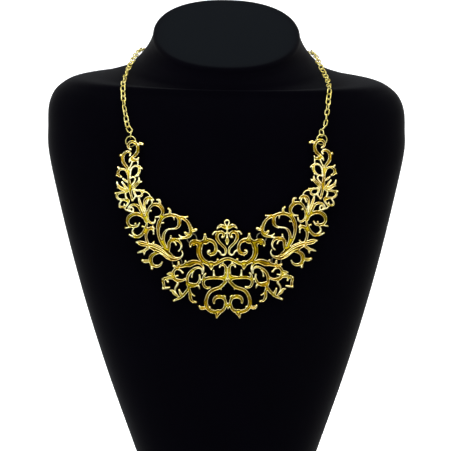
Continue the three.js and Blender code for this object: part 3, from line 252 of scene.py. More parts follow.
WING_STROKES: tuple[Stroke, ...] = (
    Stroke("top_curl", BAND, (1.2, 1.8, 2, 2, 2.1, 2.2, 2.3, 2.4, 2.2, 1.9),
        ((62.1, 225.8), (63.4, 226.8), (63.8, 228.6), (62.8, 230.2), (60.9, 230.7), (59, 230),
         (57.7, 228.2), (57.4, 226), (57.9, 223.9), (59.2, 222.2), (60.8, 220.8))),
    Stroke("top_ear", LEAF, (1.3, 1.9, 1.5), ((57.2, 228.9), (55.9, 229.7), (54.4, 229.2))),
    Stroke("second_curl", BAND, (1.2, 1.7, 2.1, 2.4, 2.5, 2.3, 2, 1.8),
        ((62.6, 221.8), (62.3, 223.2), (63.6, 224.1), (65.5, 223.7), (67, 222), (67.4, 219.8),
         (66.9, 217.6), (65.7, 215.8), (64.4, 214.2), (63.4, 212.2))),
    Stroke("second_ear", WIRE, (1.3, 1.3), ((67.2, 222), (68.7, 221.8))),
    Stroke("second_leaf", LEAF, (1.7, 1.6, 1), ((60.6, 221.2), (62.2, 219.7), (63.1, 217.6))),
    Stroke("third_curl", BAND, (2.2, 2.4, 1.8, 1.1, 1.1),
        ((61.6, 219.8), (59.8, 218.9), (58.1, 218.8), (57.3, 217.4), (57.6, 215.4))),
    Stroke("third_spike", WIRE, (1.6, 0.8), ((57.7, 219), (57, 220.7))),
    Stroke("third_stem", WIRE, (1.6, 1.3, 1.2, 1.4),
        ((60.9, 219.2), (61.3, 217), (62.2, 215), (63.1, 212.8))),
    Stroke("fourth_curl", BAND, (1.2, 1.1, 1.2, 1.3, 1.5, 1.8, 1),
        ((62.4, 207.4), (62.2, 209.8), (61.9, 212.2), (60.8, 214.3), (58.8, 215.3), (56.9, 214.9),
         (54.3, 213.3))),
    Stroke("fourth_leaf", LEAF, (1.8, 2.1, 1.9, 1.5, 1.2),
        ((56.4, 214.3), (56.4, 212.2), (57, 210.4), (58, 209.3), (59.2, 208.4))),
    Stroke("fourth_hook", WIRE, (1.4, 1.2, 1.4, 1.5, 1.8),
        ((62, 207.4), (60.5, 208), (59.2, 207), (59.5, 205.3), (60.7, 203.6), (61.9, 201.8))),
    Stroke("fifth_leaf", LEAF, (1.3, 1.5, 2, 2.4, 2.3, 1.5, 0.8),
        ((59.6, 197), (60.1, 199.2), (60, 201.2), (58.7, 203), (57.2, 204.6), (56.6, 206.2),
         (56.7, 207.8))),
    Stroke("fifth_barb", LEAF, (2.4, 1.7, 0.8), ((57.4, 204.4), (56, 205.1), (54.9, 205.2))),
    Stroke("ring_curl", BAND, (1.5, 1.4, 1.6, 1.6, 1.5, 1.3),
        ((59.9, 200.3), (58.2, 199.5), (56.4, 199.5), (54.9, 198.8), (54.4, 197.4), (55.2, 196),
         (56.8, 195.5), (58.3, 195.8), (59.2, 196.9))),
    Stroke("ring_ear", WIRE, (1.4, 1), ((55.2, 199.3), (53.4, 199.5))),
    Stroke("ring_stem", WIRE, (1.4, 1.2, 1.3, 1.6),
        ((59.5, 198.8), (59.2, 196.6), (59.3, 194.8), (61, 193.3))),
    Stroke("link_arch", WIRE, (1, 0.9, 1),
        ((54.3, 198.3), (52.6, 198.5), (51, 197.9), (49.8, 196.6), (49.4, 195.2))),
    Stroke("upper_stem", BAND, (1.4, 1.9, 1.9, 1.9, 2.4, 3, 2, 1.6, 1.9),
        ((63.2, 213.6), (63.5, 211), (63.4, 208.2), (63.1, 205.4), (62.8, 202.8), (62.5, 200.2),
         (62.1, 197.6), (61.5, 195.2), (61, 193.2))),
    Stroke("left_curl", BAND, (1.6, 1.6, 1.5, 1.9, 2.2, 1.6),
        ((64, 209.6), (64.7, 211.6), (66.2, 212.8), (68.2, 213), (69.8, 212), (70.5, 210.2),
         (69.8, 208.8), (68.4, 207.9))),
    Stroke("left_tip", LEAF, (1.6, 1.3, 0.8), ((68.6, 212.9), (69.6, 213.5), (70.6, 214.5))),
    Stroke("left_toe", WIRE, (2, 1), ((70.3, 210.4), (71.4, 208.9))),
    Stroke("bract_one", LEAF, (1.2, 1.7, 0.8), ((64.3, 204.8), (65.9, 205.9), (67.3, 207.1))),
    Stroke("bract_two", LEAF, (2.2, 1.7, 1.5, 0.9),
        ((63.8, 199.2), (65.3, 201.2), (66.6, 203.2), (67.9, 204.9))),
    Stroke("bract_three", LEAF, (1.9, 2.2, 2.4, 2.1, 1.4, 0.7),
        ((64, 198.6), (66, 199.5), (68, 200.4), (69.7, 201.6), (70.7, 203.2), (71.1, 204.9))),
    Stroke("bract_barb", WIRE, (1.8, 0.7), ((69.4, 201.2), (71.1, 200.8))),
    Stroke("low_ring", BAND, (1.7, 1.5, 1.6, 1.8, 1.5, 1.5, 1.6, 2.3),
        ((64.4, 198.9), (66.2, 198.2), (68.4, 197.8), (70.4, 197.1), (71.2, 195.4), (70.3, 193.9),
         (68.4, 193.2), (66.3, 193.2), (64.2, 192.7))),
    Stroke("low_ring_ear", WIRE, (1.8, 1.2), ((70.2, 197.4), (72.2, 197.3))),
    Stroke("low_ring_limb", WIRE, (1.6, 1.3, 1.5, 2.4),
        ((64.6, 199), (65.5, 196.8), (65.1, 194.6), (64, 192.7))),
    Stroke("under_ring", BAND, (1.3, 1.3, 1.6, 1.8, 1.5, 1.4, 1.8),
        ((68, 192.8), (69, 191.2), (69.6, 189.8), (69.2, 188.8), (67.6, 188.4), (65.8, 188.7),
         (64.5, 189.9), (63.7, 191.4), (63.5, 192.8))),
    Stroke("under_pip", WIRE, (1.3, 0.8), ((66.3, 188.8), (66.3, 190.7))),
    Stroke("elbow", WIRE, (1, 1.2, 1.5, 1.6),
        ((66.3, 188), (65.2, 186.7), (63.6, 186.3), (62, 185.7))),
    Stroke("shoulder", BAND, (1.3, 1.4, 1.7, 1.9, 2, 1.9, 1.8),
        ((63.5, 186.4), (63.6, 187.8), (62.6, 189.2), (60.9, 190), (58.9, 190), (57.2, 189.1),
         (56, 187.3), (55, 185.4), (53.9, 183.6))),
    Stroke("shoulder_eye", WIRE, (1.1, 1.1, 1.1),
        ((62.6, 187.1), (61.8, 188.3), (60.6, 187.8), (60.4, 186.4), (61.4, 185.6), (62.4, 186.2))),
    Stroke("shoulder_post", WIRE, (1.1, 1.1, 1.3), ((60.6, 187.6), (60.4, 186.2), (60.4, 184.8))),
    Stroke("mid_volute", BAND, (2.2, 2.3, 2.4, 2.4, 2.7, 2.8, 2.3, 1.9, 1.9, 1.7, 1),
        ((52.1, 179.4), (53, 181.6), (54.7, 183.1), (57, 184), (59.6, 184.1), (61.9, 183.2),
         (63.6, 181.4), (64.1, 179.1), (63.3, 177), (61.4, 176.1), (59.3, 176), (57.4, 176.6),
         (56.4, 178.2))),
    Stroke("mid_volute_pip", WIRE, (1.7, 1.3), ((59.1, 176.3), (59, 177.8))),
    Stroke("mid_volute_spur", WIRE, (1.7, 1.2, 0.9), ((62.6, 175.8), (64, 175.2), (65.5, 174.9))),
    Stroke("bud_leaf", LEAF, (1.6, 1.9, 2, 1.9, 0.9),
        ((53.4, 184.8), (54.4, 187.4), (55.4, 190), (56.3, 192.4), (56.8, 194.9))),
    Stroke("bell_curl", BAND, (1.6, 1.4, 1.5, 1.7, 2, 2, 1.3),
        ((51.9, 184.4), (52.5, 187), (53.1, 189.4), (53.2, 191.8), (52.4, 193.8), (50.6, 194.8),
         (48.7, 194.6), (47.3, 193.3))),
    Stroke("bell_pip", WIRE, (1.5, 1.7, 1), ((50.2, 193.8), (51.2, 192.2), (51.8, 190.5))),
    Stroke("bell_tie", WIRE, (1.7, 1.4, 1.5), ((48.7, 194), (48.2, 192.3), (48, 190.4))),
    Stroke("round_curl", BAND, (2, 1.8, 1.9, 2, 2.4, 2.8, 2.5, 1.9, 1.4, 1),
        ((51.4, 184), (50.4, 186.6), (49.5, 188.6), (47.6, 190.2), (45.3, 190.5), (43, 189.6),
         (41.5, 187.7), (41.2, 185.4), (42.3, 183.5), (44.2, 182.5), (46.2, 182.4))),
    Stroke("round_barb", WIRE, (1.5, 1.1), ((50.2, 186.9), (48.9, 186.3))),
    Stroke("round_leaf", LEAF, (2.4, 1.9, 1.5, 0.9),
        ((43.3, 189.8), (43.1, 191.9), (43.6, 193.5), (44.9, 193.5))),
    Stroke("lobe", BAND, (1.9, 1.5, 1.6, 1.6, 1.4, 1),
        ((51.3, 183.4), (50.8, 180.8), (49.7, 179.1), (47.9, 178.4), (46.4, 179.2), (46.1, 180.9))),
    Stroke("mid_stem", BAND, (2.2, 2.1, 2, 1.5, 1.8, 2),
        ((52, 184.9), (51.6, 182.6), (51.6, 180.2), (51.6, 177.8), (52.1, 175.9), (52.8, 173.8))),
    Stroke("mid_spur", WIRE, (1.5, 1.2), ((52.5, 175.6), (54.4, 176.1))),
    Stroke("low_curl", BAND, (1.8, 1.8, 2.1, 2.3, 2.3, 1.8, 1.3, 0.9),
        ((52.2, 175.6), (53.2, 173.6), (54.3, 171.6), (56, 170), (58.2, 169.3), (60.4, 169.5),
         (61.9, 169.9), (63.1, 170.6))),
    Stroke("low_curl_lip", WIRE, (1.7, 1.8, 1.5, 1.2, 1.3),
        ((58.8, 169.9), (60.6, 171.3), (61, 172.9), (60.3, 174.5), (59.9, 176))),
    Stroke("hook_curl", BAND, (2.3, 1.9, 1.8, 2, 2.4, 2.7, 1.9, 1.3, 1),
        ((50.5, 164.4), (51.5, 167), (52, 169.4), (51.9, 171.8), (51, 173.9), (49.4, 174.9),
         (47.8, 174.3), (47.2, 172.9), (47.2, 171.4))),
    Stroke("hook_tail", WIRE, (2.2, 2, 1.4), ((49, 175.2), (47.5, 175.4), (46.6, 174.7))),
    Stroke("hook_pip", WIRE, (1.2, 0.8), ((48, 175.7), (47.6, 176.6))),
    Stroke("great_limb", BAND, (1.7, 2.3, 2.2, 1.9, 2.1, 2.7, 2.9, 2.6, 2.3, 2.2),
        ((38.7, 161.6), (41.2, 164.8), (43, 168), (44, 171.4), (44.2, 174.8), (43.7, 178), (42.5, 180.7),
         (40.5, 182.6), (38, 183.6), (35.2, 183.9))),
    Stroke("great_cheek", BAND, (2.2, 2.2, 1.9, 1.8, 1.9, 2.1, 2.3, 2.5, 2.6, 2.3, 1.8, 1.4, 0.8),
        ((36.2, 183.9), (32.6, 183.3), (30.2, 182.4), (27.9, 181.6), (25.9, 180.3), (24.3, 178.2),
         (23.2, 175.6), (22.9, 172.9), (23.7, 170.7), (25.6, 169.5), (27.9, 169.3), (29.6, 169.9),
         (30.7, 171.1))),
    Stroke("great_leaf", LEAF, (2.6, 1.7, 1.5, 0.9),
        ((36.6, 184), (36.4, 186.2), (36.8, 187.5), (37.7, 187.9))),
    Stroke("great_spur", WIRE, (1.8, 1.3, 1), ((29.2, 182.5), (27, 182.4), (25.1, 182.7))),
    Stroke("inner_s", BAND, (2.2, 2.6, 2.8, 2, 1.4, 1.1, 1.3, 1.9, 2.1, 2, 1.8, 1.6),
        ((31.9, 183), (30.5, 181.2), (30.3, 178.8), (30.9, 176.6), (32.6, 175.3), (35.2, 174.8),
         (37.8, 174.4), (39.6, 172.9), (40.6, 170.6), (40.8, 168), (40.2, 165.6), (39.1, 163.2))),
    Stroke("limb_barb", WIRE, (2, 1.6, 1), ((43.2, 179.2), (41.8, 178.7), (40.7, 178.7))),
    Stroke("limb_pip", WIRE, (1.8, 1), ((43.8, 177.6), (42.7, 176.1))),
    Stroke("brow_pip", WIRE, (1.7, 0.8), ((34.1, 183.2), (33.7, 180.5))),
    Stroke("cheek_leaf", LEAF, (2.6, 2.5, 1.2), ((24, 171.2), (25.5, 171.4), (26.8, 172.6))),
    Stroke("cheek_ear", LEAF, (2.2, 2, 2), ((22.6, 173.9), (21, 173.9), (19.5, 174.4))),
    Stroke("c_top", BAND, (2.2, 2.2, 2.4, 2.6, 2.6, 2, 1.7, 1.5, 1.2, 1),
        ((37.7, 160.4), (37.2, 163.2), (37.1, 165.6), (35.9, 167.3), (33.8, 167.9), (31.6, 167.5),
         (29.9, 166.1), (29.1, 164.1), (29.5, 162.1), (30.9, 160.6))),
    Stroke("c_knob", WIRE, (1.8, 1), ((36.1, 168), (35.9, 170.3))),
    Stroke("c_barb", WIRE, (1.7, 1.4, 1), ((34.4, 166.8), (33.2, 165.8), (32.6, 164.4))),
    Stroke("c_tie", WIRE, (1.8, 1.5, 1.6), ((31.6, 168), (29.6, 168.6), (27.8, 169))),
    Stroke("c_base", BAND, (3.4, 3.8, 4.4, 5, 5.2, 4.4, 3.2, 2, 1.4, 1.1, 0.8),
        ((46, 161.2), (43.4, 160.7), (41.2, 160), (39.3, 159), (37.2, 157.4), (34.7, 155.8),
         (32.3, 155.5), (30.3, 156), (28.7, 157.3), (28.2, 159), (28.9, 160.6))),
    Stroke("trunk", BAND, (3.6, 4.8, 4.8, 3.8, 2.6),
        ((41, 160.7), (44, 161.6), (47, 162.9), (49.6, 163.7), (51.6, 164.2))),
    Stroke("trunk_pip", WIRE, (2, 1), ((48.2, 164.4), (46.9, 166.3))),
    Stroke("long_leaf", LEAF, (2.2, 2.9, 3.5, 2.9, 0.9),
        ((50.4, 164.1), (52.8, 164.7), (55.2, 165.2), (57.2, 165.7), (58.5, 165.9))),
    Stroke("low_leaf", LEAF, (2.2, 2.1, 1.7, 1.4, 0.8),
        ((50.4, 162.6), (52.2, 161.2), (54, 160.2), (55.8, 159.7), (57.6, 159))),
    Stroke("low_leaf_barb", LEAF, (2, 1.5, 0.7), ((52.8, 160.8), (53.2, 159.4), (53.3, 157.7))),
    Stroke("c_curl", BAND, (2.2, 2.3, 2.7, 3, 2.9, 2.5, 2.1, 1.9, 1.6, 0.9),
        ((43.6, 159.6), (46, 158.8), (48, 157.6), (49.1, 155.6), (49, 153.3), (47.9, 151.4), (46, 150.5),
         (44, 150.6), (42.4, 151.7), (41.5, 153.4))),
    Stroke("c_curl_foot", WIRE, (2.2, 1.5, 1.6), ((48.7, 151.6), (48.5, 150), (48.3, 148.8))),
    Stroke("c_curl_leaf", LEAF, (1.8, 2.3, 2.3, 1.6),
        ((49.8, 153.8), (51.6, 153.6), (53.2, 153.6), (54.6, 154))),
)

CENTER_VEINS: tuple[Stroke, ...] = (
    Stroke("trunk_ridge", VEIN, (0.7, 1, 1), ((0, 8.4), (0, 5.4), (0, 2.6))),
    Stroke("trunk_ridge_fork", VEIN, (0.7, 0.6, 0.5), ((0, 3), (0.7, 1.2), (1.6, -0.4))),
)
WING_VEINS: tuple[Stroke, ...] = (
    Stroke("upper_vein", VEIN, (0.5, 0.8, 0.8, 0.5),
        ((51, 165), (48, 164.4), (45, 163.3), (42.4, 162), (40.2, 160.4), (38.4, 158.7), (36.6, 157.6),
         (34.6, 157.1))),
    Stroke("middle_vein", VEIN, (0.5, 0.8, 0.8, 0.5),
        ((50.4, 163.6), (47.2, 162.8), (44.2, 161.6), (41.6, 160.2), (39, 158.4), (36.8, 156.8),
         (34.4, 155.9), (32, 156))),
    Stroke("lower_vein", VEIN, (0.5, 0.7, 0.7, 0.5),
        ((46.4, 160.8), (43.8, 159.9), (41, 158.4), (38.8, 156.9), (36.6, 155.4))),
)

WING_KNOBS: tuple[Triple, ...] = (
    (62.1, 225.8, 0.75), (54.4, 229.2, 0.9), (68.7, 221.8, 0.95), (62.7, 221.8, 0.75), (57.2, 209, 0.75),
    (57, 195.6, 0.8), (53.4, 199.5, 0.65), (60.9, 193, 0.95), (68.4, 207.9, 0.85), (71.4, 208.9, 0.6),
    (72.2, 197.3, 0.7), (59, 177.8, 0.8), (56.4, 178.2, 0.6), (65.5, 174.9, 0.6), (51.5, 191.2, 0.8),
    (47.4, 193.3, 0.75), (48.9, 186.3, 0.75), (44.9, 193.5, 0.6), (46.1, 180.9, 0.6), (54.4, 176.1, 0.75),
    (63, 170.5, 0.6), (47.2, 171.4, 0.65), (47.6, 176.6, 0.5), (37.6, 187.9, 0.65), (25.2, 182.7, 0.65),
    (40.8, 178.7, 0.7), (26.7, 172.5, 0.8), (19.5, 174.4, 0.9), (22.1, 175.7, 0.6), (30.9, 160.6, 0.6),
    (35.9, 170.2, 0.65), (32.6, 164.5, 0.65), (28.8, 160.5, 0.5), (47, 166.2, 0.6), (41.6, 153.2, 0.6),
    (48.3, 148.9, 0.95), (54.4, 154, 0.95), (50, 162.6, 0.9),
)


@dataclass(frozen=True)
class Place:
    """Where a plate's drawing goes: mirrored, turned by degrees about a pivot, then shifted, in mm."""

    mirror: int
    turn: float
    pivot: Pair
    shift: Pair

    def put(self, points: np.ndarray) -> np.ndarray:
        """Puts drawing points where the plate hangs.

        Args:
            points: rows of x and z in the drawing.

        Returns:
            Rows of x and z on the bust.
        """
        turn = math.radians(self.turn)
        offset = np.asarray(points, float) * (self.mirror, 1) - self.pivot
        rotate = np.array([[math.cos(turn), math.sin(turn)], [-math.sin(turn), math.cos(turn)]])
        return offset @ rotate + self.pivot + self.shift


PLACES: dict[str, Place] = {
    "center": Place(1, 0.75, (0, 0), (0.78, 141.79)),
    "center_mirrored": Place(-1, 0.75, (0, 0), (0.78, 141.79)),
    "left": Place(-1, 0, (0, 0), (-0.11, 0)),
    "right": Place(1, 0.48, (62, 231), (-0.19, 1.16)),
}

# Where each link ring's wire passes its two staples, as x and z in the drawings of the center plate
# and of a wing.
LINK_RINGS: dict[str, tuple[Pair, Pair]] = {
    "upper_ring": ((22, 24.1), (25, 170.1)),
    "lower_ring": ((32, 8.6), (33.4, 155.7)),
}


def smooth_line(points: np.ndarray, per_span: int) -> np.ndarray:
    """A smooth line through points, without loops or overshoot where they lie unevenly.

    Args:
        points: rows of coordinates.
        per_span: steps between two points.

    Returns:
        Rows of coordinates along the line.
    """
    points = np.asarray(points, float)
    if len(points) == 2:
        share = np.linspace(0, 1, per_span + 1)[:, None]
        return points[0] * (1 - share) + points[1] * share
    padded = np.vstack([2 * points[0] - points[1], points, 2 * points[-1] - points[-2]])
    spans = []
    for first, start, end, last in zip(padded, padded[1:], padded[2:], padded[3:]):
        knots = np.cumsum([0, *(np.sqrt(np.linalg.norm(b - a)) for a, b in
                                ((first, start), (start, end), (end, last)))])
        t = np.linspace(knots[1], knots[2], per_span, endpoint=False)[:, None]

        def blend(a: np.ndarray, b: np.ndarray, low: float, high: float) -> np.ndarray:
            """Runs from a at low to b at high."""
            return ((high - t) * a + (t - low) * b) / (high - low)

        left = blend(first, start, knots[0], knots[1])
        middle = blend(start, end, knots[1], knots[2])
        right = blend(end, last, knots[2], knots[3])
        spans.append(blend(blend(left, middle, knots[0], knots[2]),
                           blend(middle, right, knots[1], knots[3]), knots[1], knots[2]))
    return np.vstack([*spans, points[-1:]])


def distances_along(line: np.ndarray) -> np.ndarray:
    """The distance from a line's start to each of its points."""
    return np.concatenate([[0], np.cumsum(np.linalg.norm(np.diff(line, axis=0), axis=1))])


def unit(vectors: np.ndarray) -> np.ndarray:
    """The vectors, or rows of vectors, at length 1."""
    return vectors / np.linalg.norm(vectors, axis=-1, keepdims=True)


def add_object(name: str, data: bpy.types.ID) -> bpy.types.Object:
    """Makes an object at the origin and links it to the scene.

    Args:
        name: the object's name.
        data: its mesh, curve, light or camera.

    Returns:
        The new object.
    """
    piece = bpy.data.objects.new(name, data)
    bpy.context.scene.collection.objects.link(piece)
    return piece


def add_mesh(name: str, points: np.ndarray, faces: list[list[int]]) -> bpy.types.Object:
    """Makes a smooth mesh object at the origin.

    Args:
        name: the object's name.
        points: rows of x, y and z in metres.
        faces: lists of point numbers, anticlockwise from outside.

    Returns:
        The new object.
    """
    mesh = bpy.data.meshes.new(name)
    mesh.from_pydata([tuple(point) for point in points], [], faces)
    mesh.polygons.foreach_set("use_smooth", [True] * len(mesh.polygons))
    mesh.update()
    return add_object(name, mesh)


def store(piece: bpy.types.Object, name: str, values: np.ndarray) -> None:
    """Stores a number or a vector at each point of a piece's mesh, as a named attribute.

    Args:
        piece: the piece.
        name: the attribute's name.
        values: a number, or a row of three, for each point.
    """
    kind, key = ("FLOAT", "value") if np.ndim(values) == 1 else ("FLOAT_VECTOR", "vector")
    piece.data.attributes.new(name, kind, "POINT").data.foreach_set(key, np.ravel(values))


def dress(piece: bpy.types.Object, node: str, material: bpy.types.Material | None = None) -> None:
    """Finishes a piece and ties it to the frame.

    Args:
        piece: the piece.
        node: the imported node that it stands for.
        material: its finish, unless its mesh has it already.
    """
    if material:
        piece.data.materials.append(material)
    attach(piece, BODY)
    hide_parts(node)
    LOG.info("%s: %d faces", piece.name, len(piece.data.polygons))


def crease(piece: bpy.types.Object) -> None:
    """Marks the edges that turn by more than the crease angle as sharp."""
    piece.data.set_sharp_from_angle(angle=math.radians(CREASE_DEG))


# ---------------------------- node trees and finishes


class Socket(Enum):
    """What a node tree's socket carries."""

    VALUE = "NodeSocketFloat"
    COLOR = "NodeSocketColor"
    VECTOR = "NodeSocketVector"
    GEOMETRY = "NodeSocketGeometry"
    MATERIAL = "NodeSocketMaterial"


@dataclass
class NodeBuilder:
    """Places nodes in a tree."""

    tree: bpy.types.NodeTree

    def feed(self, value: object, entry: bpy.types.NodeSocket) -> None:
        """Links an output socket to an entry, or sets the entry's value.

        Args:
            value: the socket or value, or None to leave the entry as it is.
            entry: the input socket.
        """
        if isinstance(value, bpy.types.NodeSocket):
            self.tree.links.new(value, entry)
        elif value is not None:
            entry.default_value = value

    def add(self, kind: str, inputs: dict | None = None, **settings: object) -> bpy.types.Node:
        """Adds a node.

        Args:
            kind: its type.
            inputs: values or sockets for its inputs, by name or number.
            settings: its properties.

        Returns:
            The node.
        """
        node = self.tree.nodes.new(kind)
        for key, value in settings.items():
            setattr(node, key, value)
        for key, value in (inputs or {}).items():
            self.feed(value, node.inputs[key])
        return node

    def math(self, operation: str, a: object, b: object = None, clamp: bool = False) -> bpy.types.NodeSocket:
        """Works with one or two values or sockets, and may hold the result between 0 and 1."""
        return self.add("ShaderNodeMath", {0: a, 1: b}, operation=operation, use_clamp=clamp).outputs[0]

    def mix(self, share: bpy.types.NodeSocket, low: object, high: object) -> bpy.types.NodeSocket:
        """Mixes two colours, from low at a share of 0 to high at 1."""
        return self.add("ShaderNodeMix", {"Factor": share, 6: low, 7: high}, data_type="RGBA").outputs[2]

    def noise(self, place: bpy.types.NodeSocket, per_metre: float, detail: float) -> bpy.types.NodeSocket:
        """Soft random values around 0.5, with so many spots to a metre."""
        return self.add("ShaderNodeTexNoise",
                        {"Vector": place, "Scale": per_metre, "Detail": detail}).outputs[0]

    def spread(self, value: bpy.types.NodeSocket, low: float, high: float) -> bpy.types.NodeSocket:
        """Stretches a value between low and high to 0 to 1, with soft ends."""
        return self.add("ShaderNodeMapRange", {"Value": value, "From Min": low, "From Max": high},
                        interpolation_type="SMOOTHSTEP").outputs[0]


class GroupBuilder(NodeBuilder):
    """Places nodes in a new group with named inputs and outputs."""

    def __init__(self, name: str, kind: str, takes: dict[str, Socket], gives: dict[str, Socket]) -> None:
        """Starts the group.

        Args:
            name: its name.
            kind: its type.
            takes: its inputs.
            gives: its outputs.
        """
        super().__init__(bpy.data.node_groups.new(name, kind))
        for way, sockets in (("INPUT", takes), ("OUTPUT", gives)):
            for socket, carries in sockets.items():
                self.tree.interface.new_socket(socket, in_out=way, socket_type=carries.value)
        self.source = self.tree.nodes.new("NodeGroupInput").outputs
        self.result = self.tree.nodes.new("NodeGroupOutput").inputs


@dataclass(frozen=True)
class PatinaAndPaintedLight:
    """Antique plating: a dark antique finish in the recesses, also laid on as painted shade, satin on the
    fields, and a painted highlight on the rims.

    Blotches, specks and patches are how many there are to a metre.

    Args:
        unevenness: how far the blotches shift the colour level.
        dark: the levels at which the recess colour, the antique finish and painted shade, starts to fade and
            is gone.
        bright: the levels at which the painted highlight of the rims starts and is whole.
        warm: the patch noise at which the warmer plating starts, and at which it is whole.
        grain: how far the specks change the roughness.
    """

    blotches: float = 260.0
    specks: float = 1500.0
    patches: float = 110.0
    unevenness: float = 0.35
    dark: Pair = (0.15, 0.5)
    bright: Pair = (0.55, 0.85)
    warm: Pair = (0.42, 0.62)
    satin: float = 0.5
    polish: float = 0.12
    grain: float = 0.12

    def group(self) -> bpy.types.ShaderNodeTree:
        """Builds the shared group.

        Returns:
            A group that takes Position, a colour level and four colours, and gives Color, Roughness and
            Height.
        """
        colors = dict.fromkeys(("Recess", "Field", "Warm", "Rim"), Socket.COLOR)
        group = GroupBuilder("patina_and_painted_light", "ShaderNodeTree",
                             {"Position": Socket.VECTOR, "Finish And Painted Light": Socket.VALUE, **colors},
                             {"Color": Socket.COLOR, "Roughness": Socket.VALUE, "Height": Socket.VALUE})
        take, give = group.source, group.result
        blotches = group.noise(take["Position"], self.blotches, 3.0)
        specks = group.noise(take["Position"], self.specks, 2.0)
        uneven = group.math("MULTIPLY", group.math("SUBTRACT", blotches, 0.5), self.unevenness)
        patina_light_level = group.math("ADD", take["Finish And Painted Light"], uneven)
        bright = group.spread(patina_light_level, *self.bright)
        patches = group.spread(group.noise(take["Position"], self.patches, 1.0), *self.warm)
        plating = group.mix(patches, take["Field"], take["Warm"])
        # the recess colour: the dark antique finish, also laid on walls, outlines and beside beads as painted
        # shade
        base = group.mix(group.spread(patina_light_level, *self.dark), take["Recess"], plating)
        # the rim colour: a painted highlight where the level is high
        group.feed(group.mix(bright, base, take["Rim"]), give["Color"])
        satin = group.math("SUBTRACT", self.satin, group.math("MULTIPLY", bright, self.polish))
        grain = group.math("MULTIPLY", group.math("SUBTRACT", specks, 0.5), self.grain)
        group.feed(group.math("ADD", satin, grain), give["Roughness"])
        group.feed(group.math("ADD", specks, blotches), give["Height"])
        return group.tree


@dataclass(frozen=True)
class Pile:
    """Short flocked pile: fine fibres, faint patches, and a painted top light where light from above falls.

    Fibres and patches are how many there are to a metre, and their shares are how much they lighten it.
    """

    fibres: float = 1800.0
    patches: float = 28.0
    fibre_share: float = 0.6
    patch_share: float = 0.5

    def group(self) -> bpy.types.ShaderNodeTree:
        """Builds the shared group.

        Returns:
            A group that takes Position, a painted top light share and three colours, and gives Color and
            Height.
        """
        colors = dict.fromkeys(("Dark", "Light", "Top Light Color"), Socket.COLOR)
        group = GroupBuilder("pile", "ShaderNodeTree",
                             {"Position": Socket.VECTOR, "Top Light Share": Socket.VALUE, **colors},
                             {"Color": Socket.COLOR, "Height": Socket.VALUE})
        take, give = group.source, group.result
        fibres = group.noise(take["Position"], self.fibres, 2.0)
        patches = group.noise(take["Position"], self.patches, 4.0)
        share = group.math("ADD", group.math("MULTIPLY", fibres, self.fibre_share),
                           group.math("MULTIPLY", patches, self.patch_share), clamp=True)
        color = group.mix(share, take["Dark"], take["Light"])
        # painted top light: a lighter colour mixed in where light from above falls
        group.feed(group.mix(take["Top Light Share"], color, take["Top Light Color"]), give["Color"])
        group.feed(fibres, give["Height"])
        return group.tree


class FinishShop:
    """Makes each finish's material once."""

    def __init__(self) -> None:
        """Builds the shared node groups."""
        self.patina_and_painted_light = PatinaAndPaintedLight().group()
        self.pile = Pile().group()
        self.made: dict[str, bpy.types.Material] = {}

    def material(self, name: str, group: bpy.types.ShaderNodeTree, pattern: dict, surface: dict,
                 bump_mm: float, bump_strength: float) -> bpy.types.Material:
        """Makes a material around a shared group that reads Object coordinates, on its first use.

        Args:
            name: the material's name.
            group: the shared group that colours it.
            pattern: the group's other inputs: a colour, a number, or a point attribute's name.
            surface: what differs from a plain surface, as values by socket.
            bump_mm: height of its grain in mm.
            bump_strength: how much of the grain shows.

        Returns:
            The material.
        """
        if name in self.made:
            return self.made[name]
        material = bpy.data.materials.new(name)
        material.use_nodes = True
        nodes = NodeBuilder(material.node_tree)
        place = nodes.add("ShaderNodeTexCoord").outputs["Object"]
        effect = nodes.add("ShaderNodeGroup", {"Position": place}, node_tree=group)
        for socket, value in pattern.items():
            if isinstance(value, str):
                value = nodes.add("ShaderNodeAttribute", attribute_name=value).outputs["Fac"]
            nodes.feed(value, effect.inputs[socket])
        bump = nodes.add("ShaderNodeBump", {"Height": effect.outputs["Height"], "Distance": bump_mm * MM,
                                            "Strength": bump_strength})
        links = {"Base Color": effect.outputs["Color"], "Roughness": effect.outputs.get("Roughness"),
                 "Normal": bump.outputs["Normal"]}
        for socket, value in (*links.items(), *surface.items()):
            nodes.feed(value, material.node_tree.nodes["Principled BSDF"].inputs[socket])
        self.made[name] = material
        return material


@dataclass(frozen=True)
class AntiqueGold:
    """Plated metal: the dark antique finish and painted shade at low colour levels, a painted highlight at
    high ones.
    Colours are linear red, green and blue.

    Args:
        even_patina_light_level: one colour level all over it, or None where the mesh holds one for each
            point.
    """

    name: str
    recess: Triple
    field_color: Triple
    warm: Triple
    # colour of the painted highlight on rims, veins and ridge tops
    rim: Triple
    even_patina_light_level: float | None = None
    edge_tint: Triple = (1.0, 0.78, 0.2)
    bump_mm: float = 0.02
    bump_strength: float = 0.6

    def material(self, shop: FinishShop) -> bpy.types.Material:
        """The finish's material, made on first use.

        Args:
            shop: where finishes are made.

        Returns:
            The material.
        """
        pattern = {"Finish And Painted Light": "patina_light_level" if self.even_patina_light_level is None else self.even_patina_light_level,
                   "Recess": (*self.recess, 1), "Field": (*self.field_color, 1),
                   "Warm": (*self.warm, 1), "Rim": (*self.rim, 1)}
        surface = {"Metallic": 1.0, "Specular Tint": (*self.edge_tint, 1)}
        return shop.material(self.name, shop.patina_and_painted_light, pattern, surface, self.bump_mm, self.bump_strength)


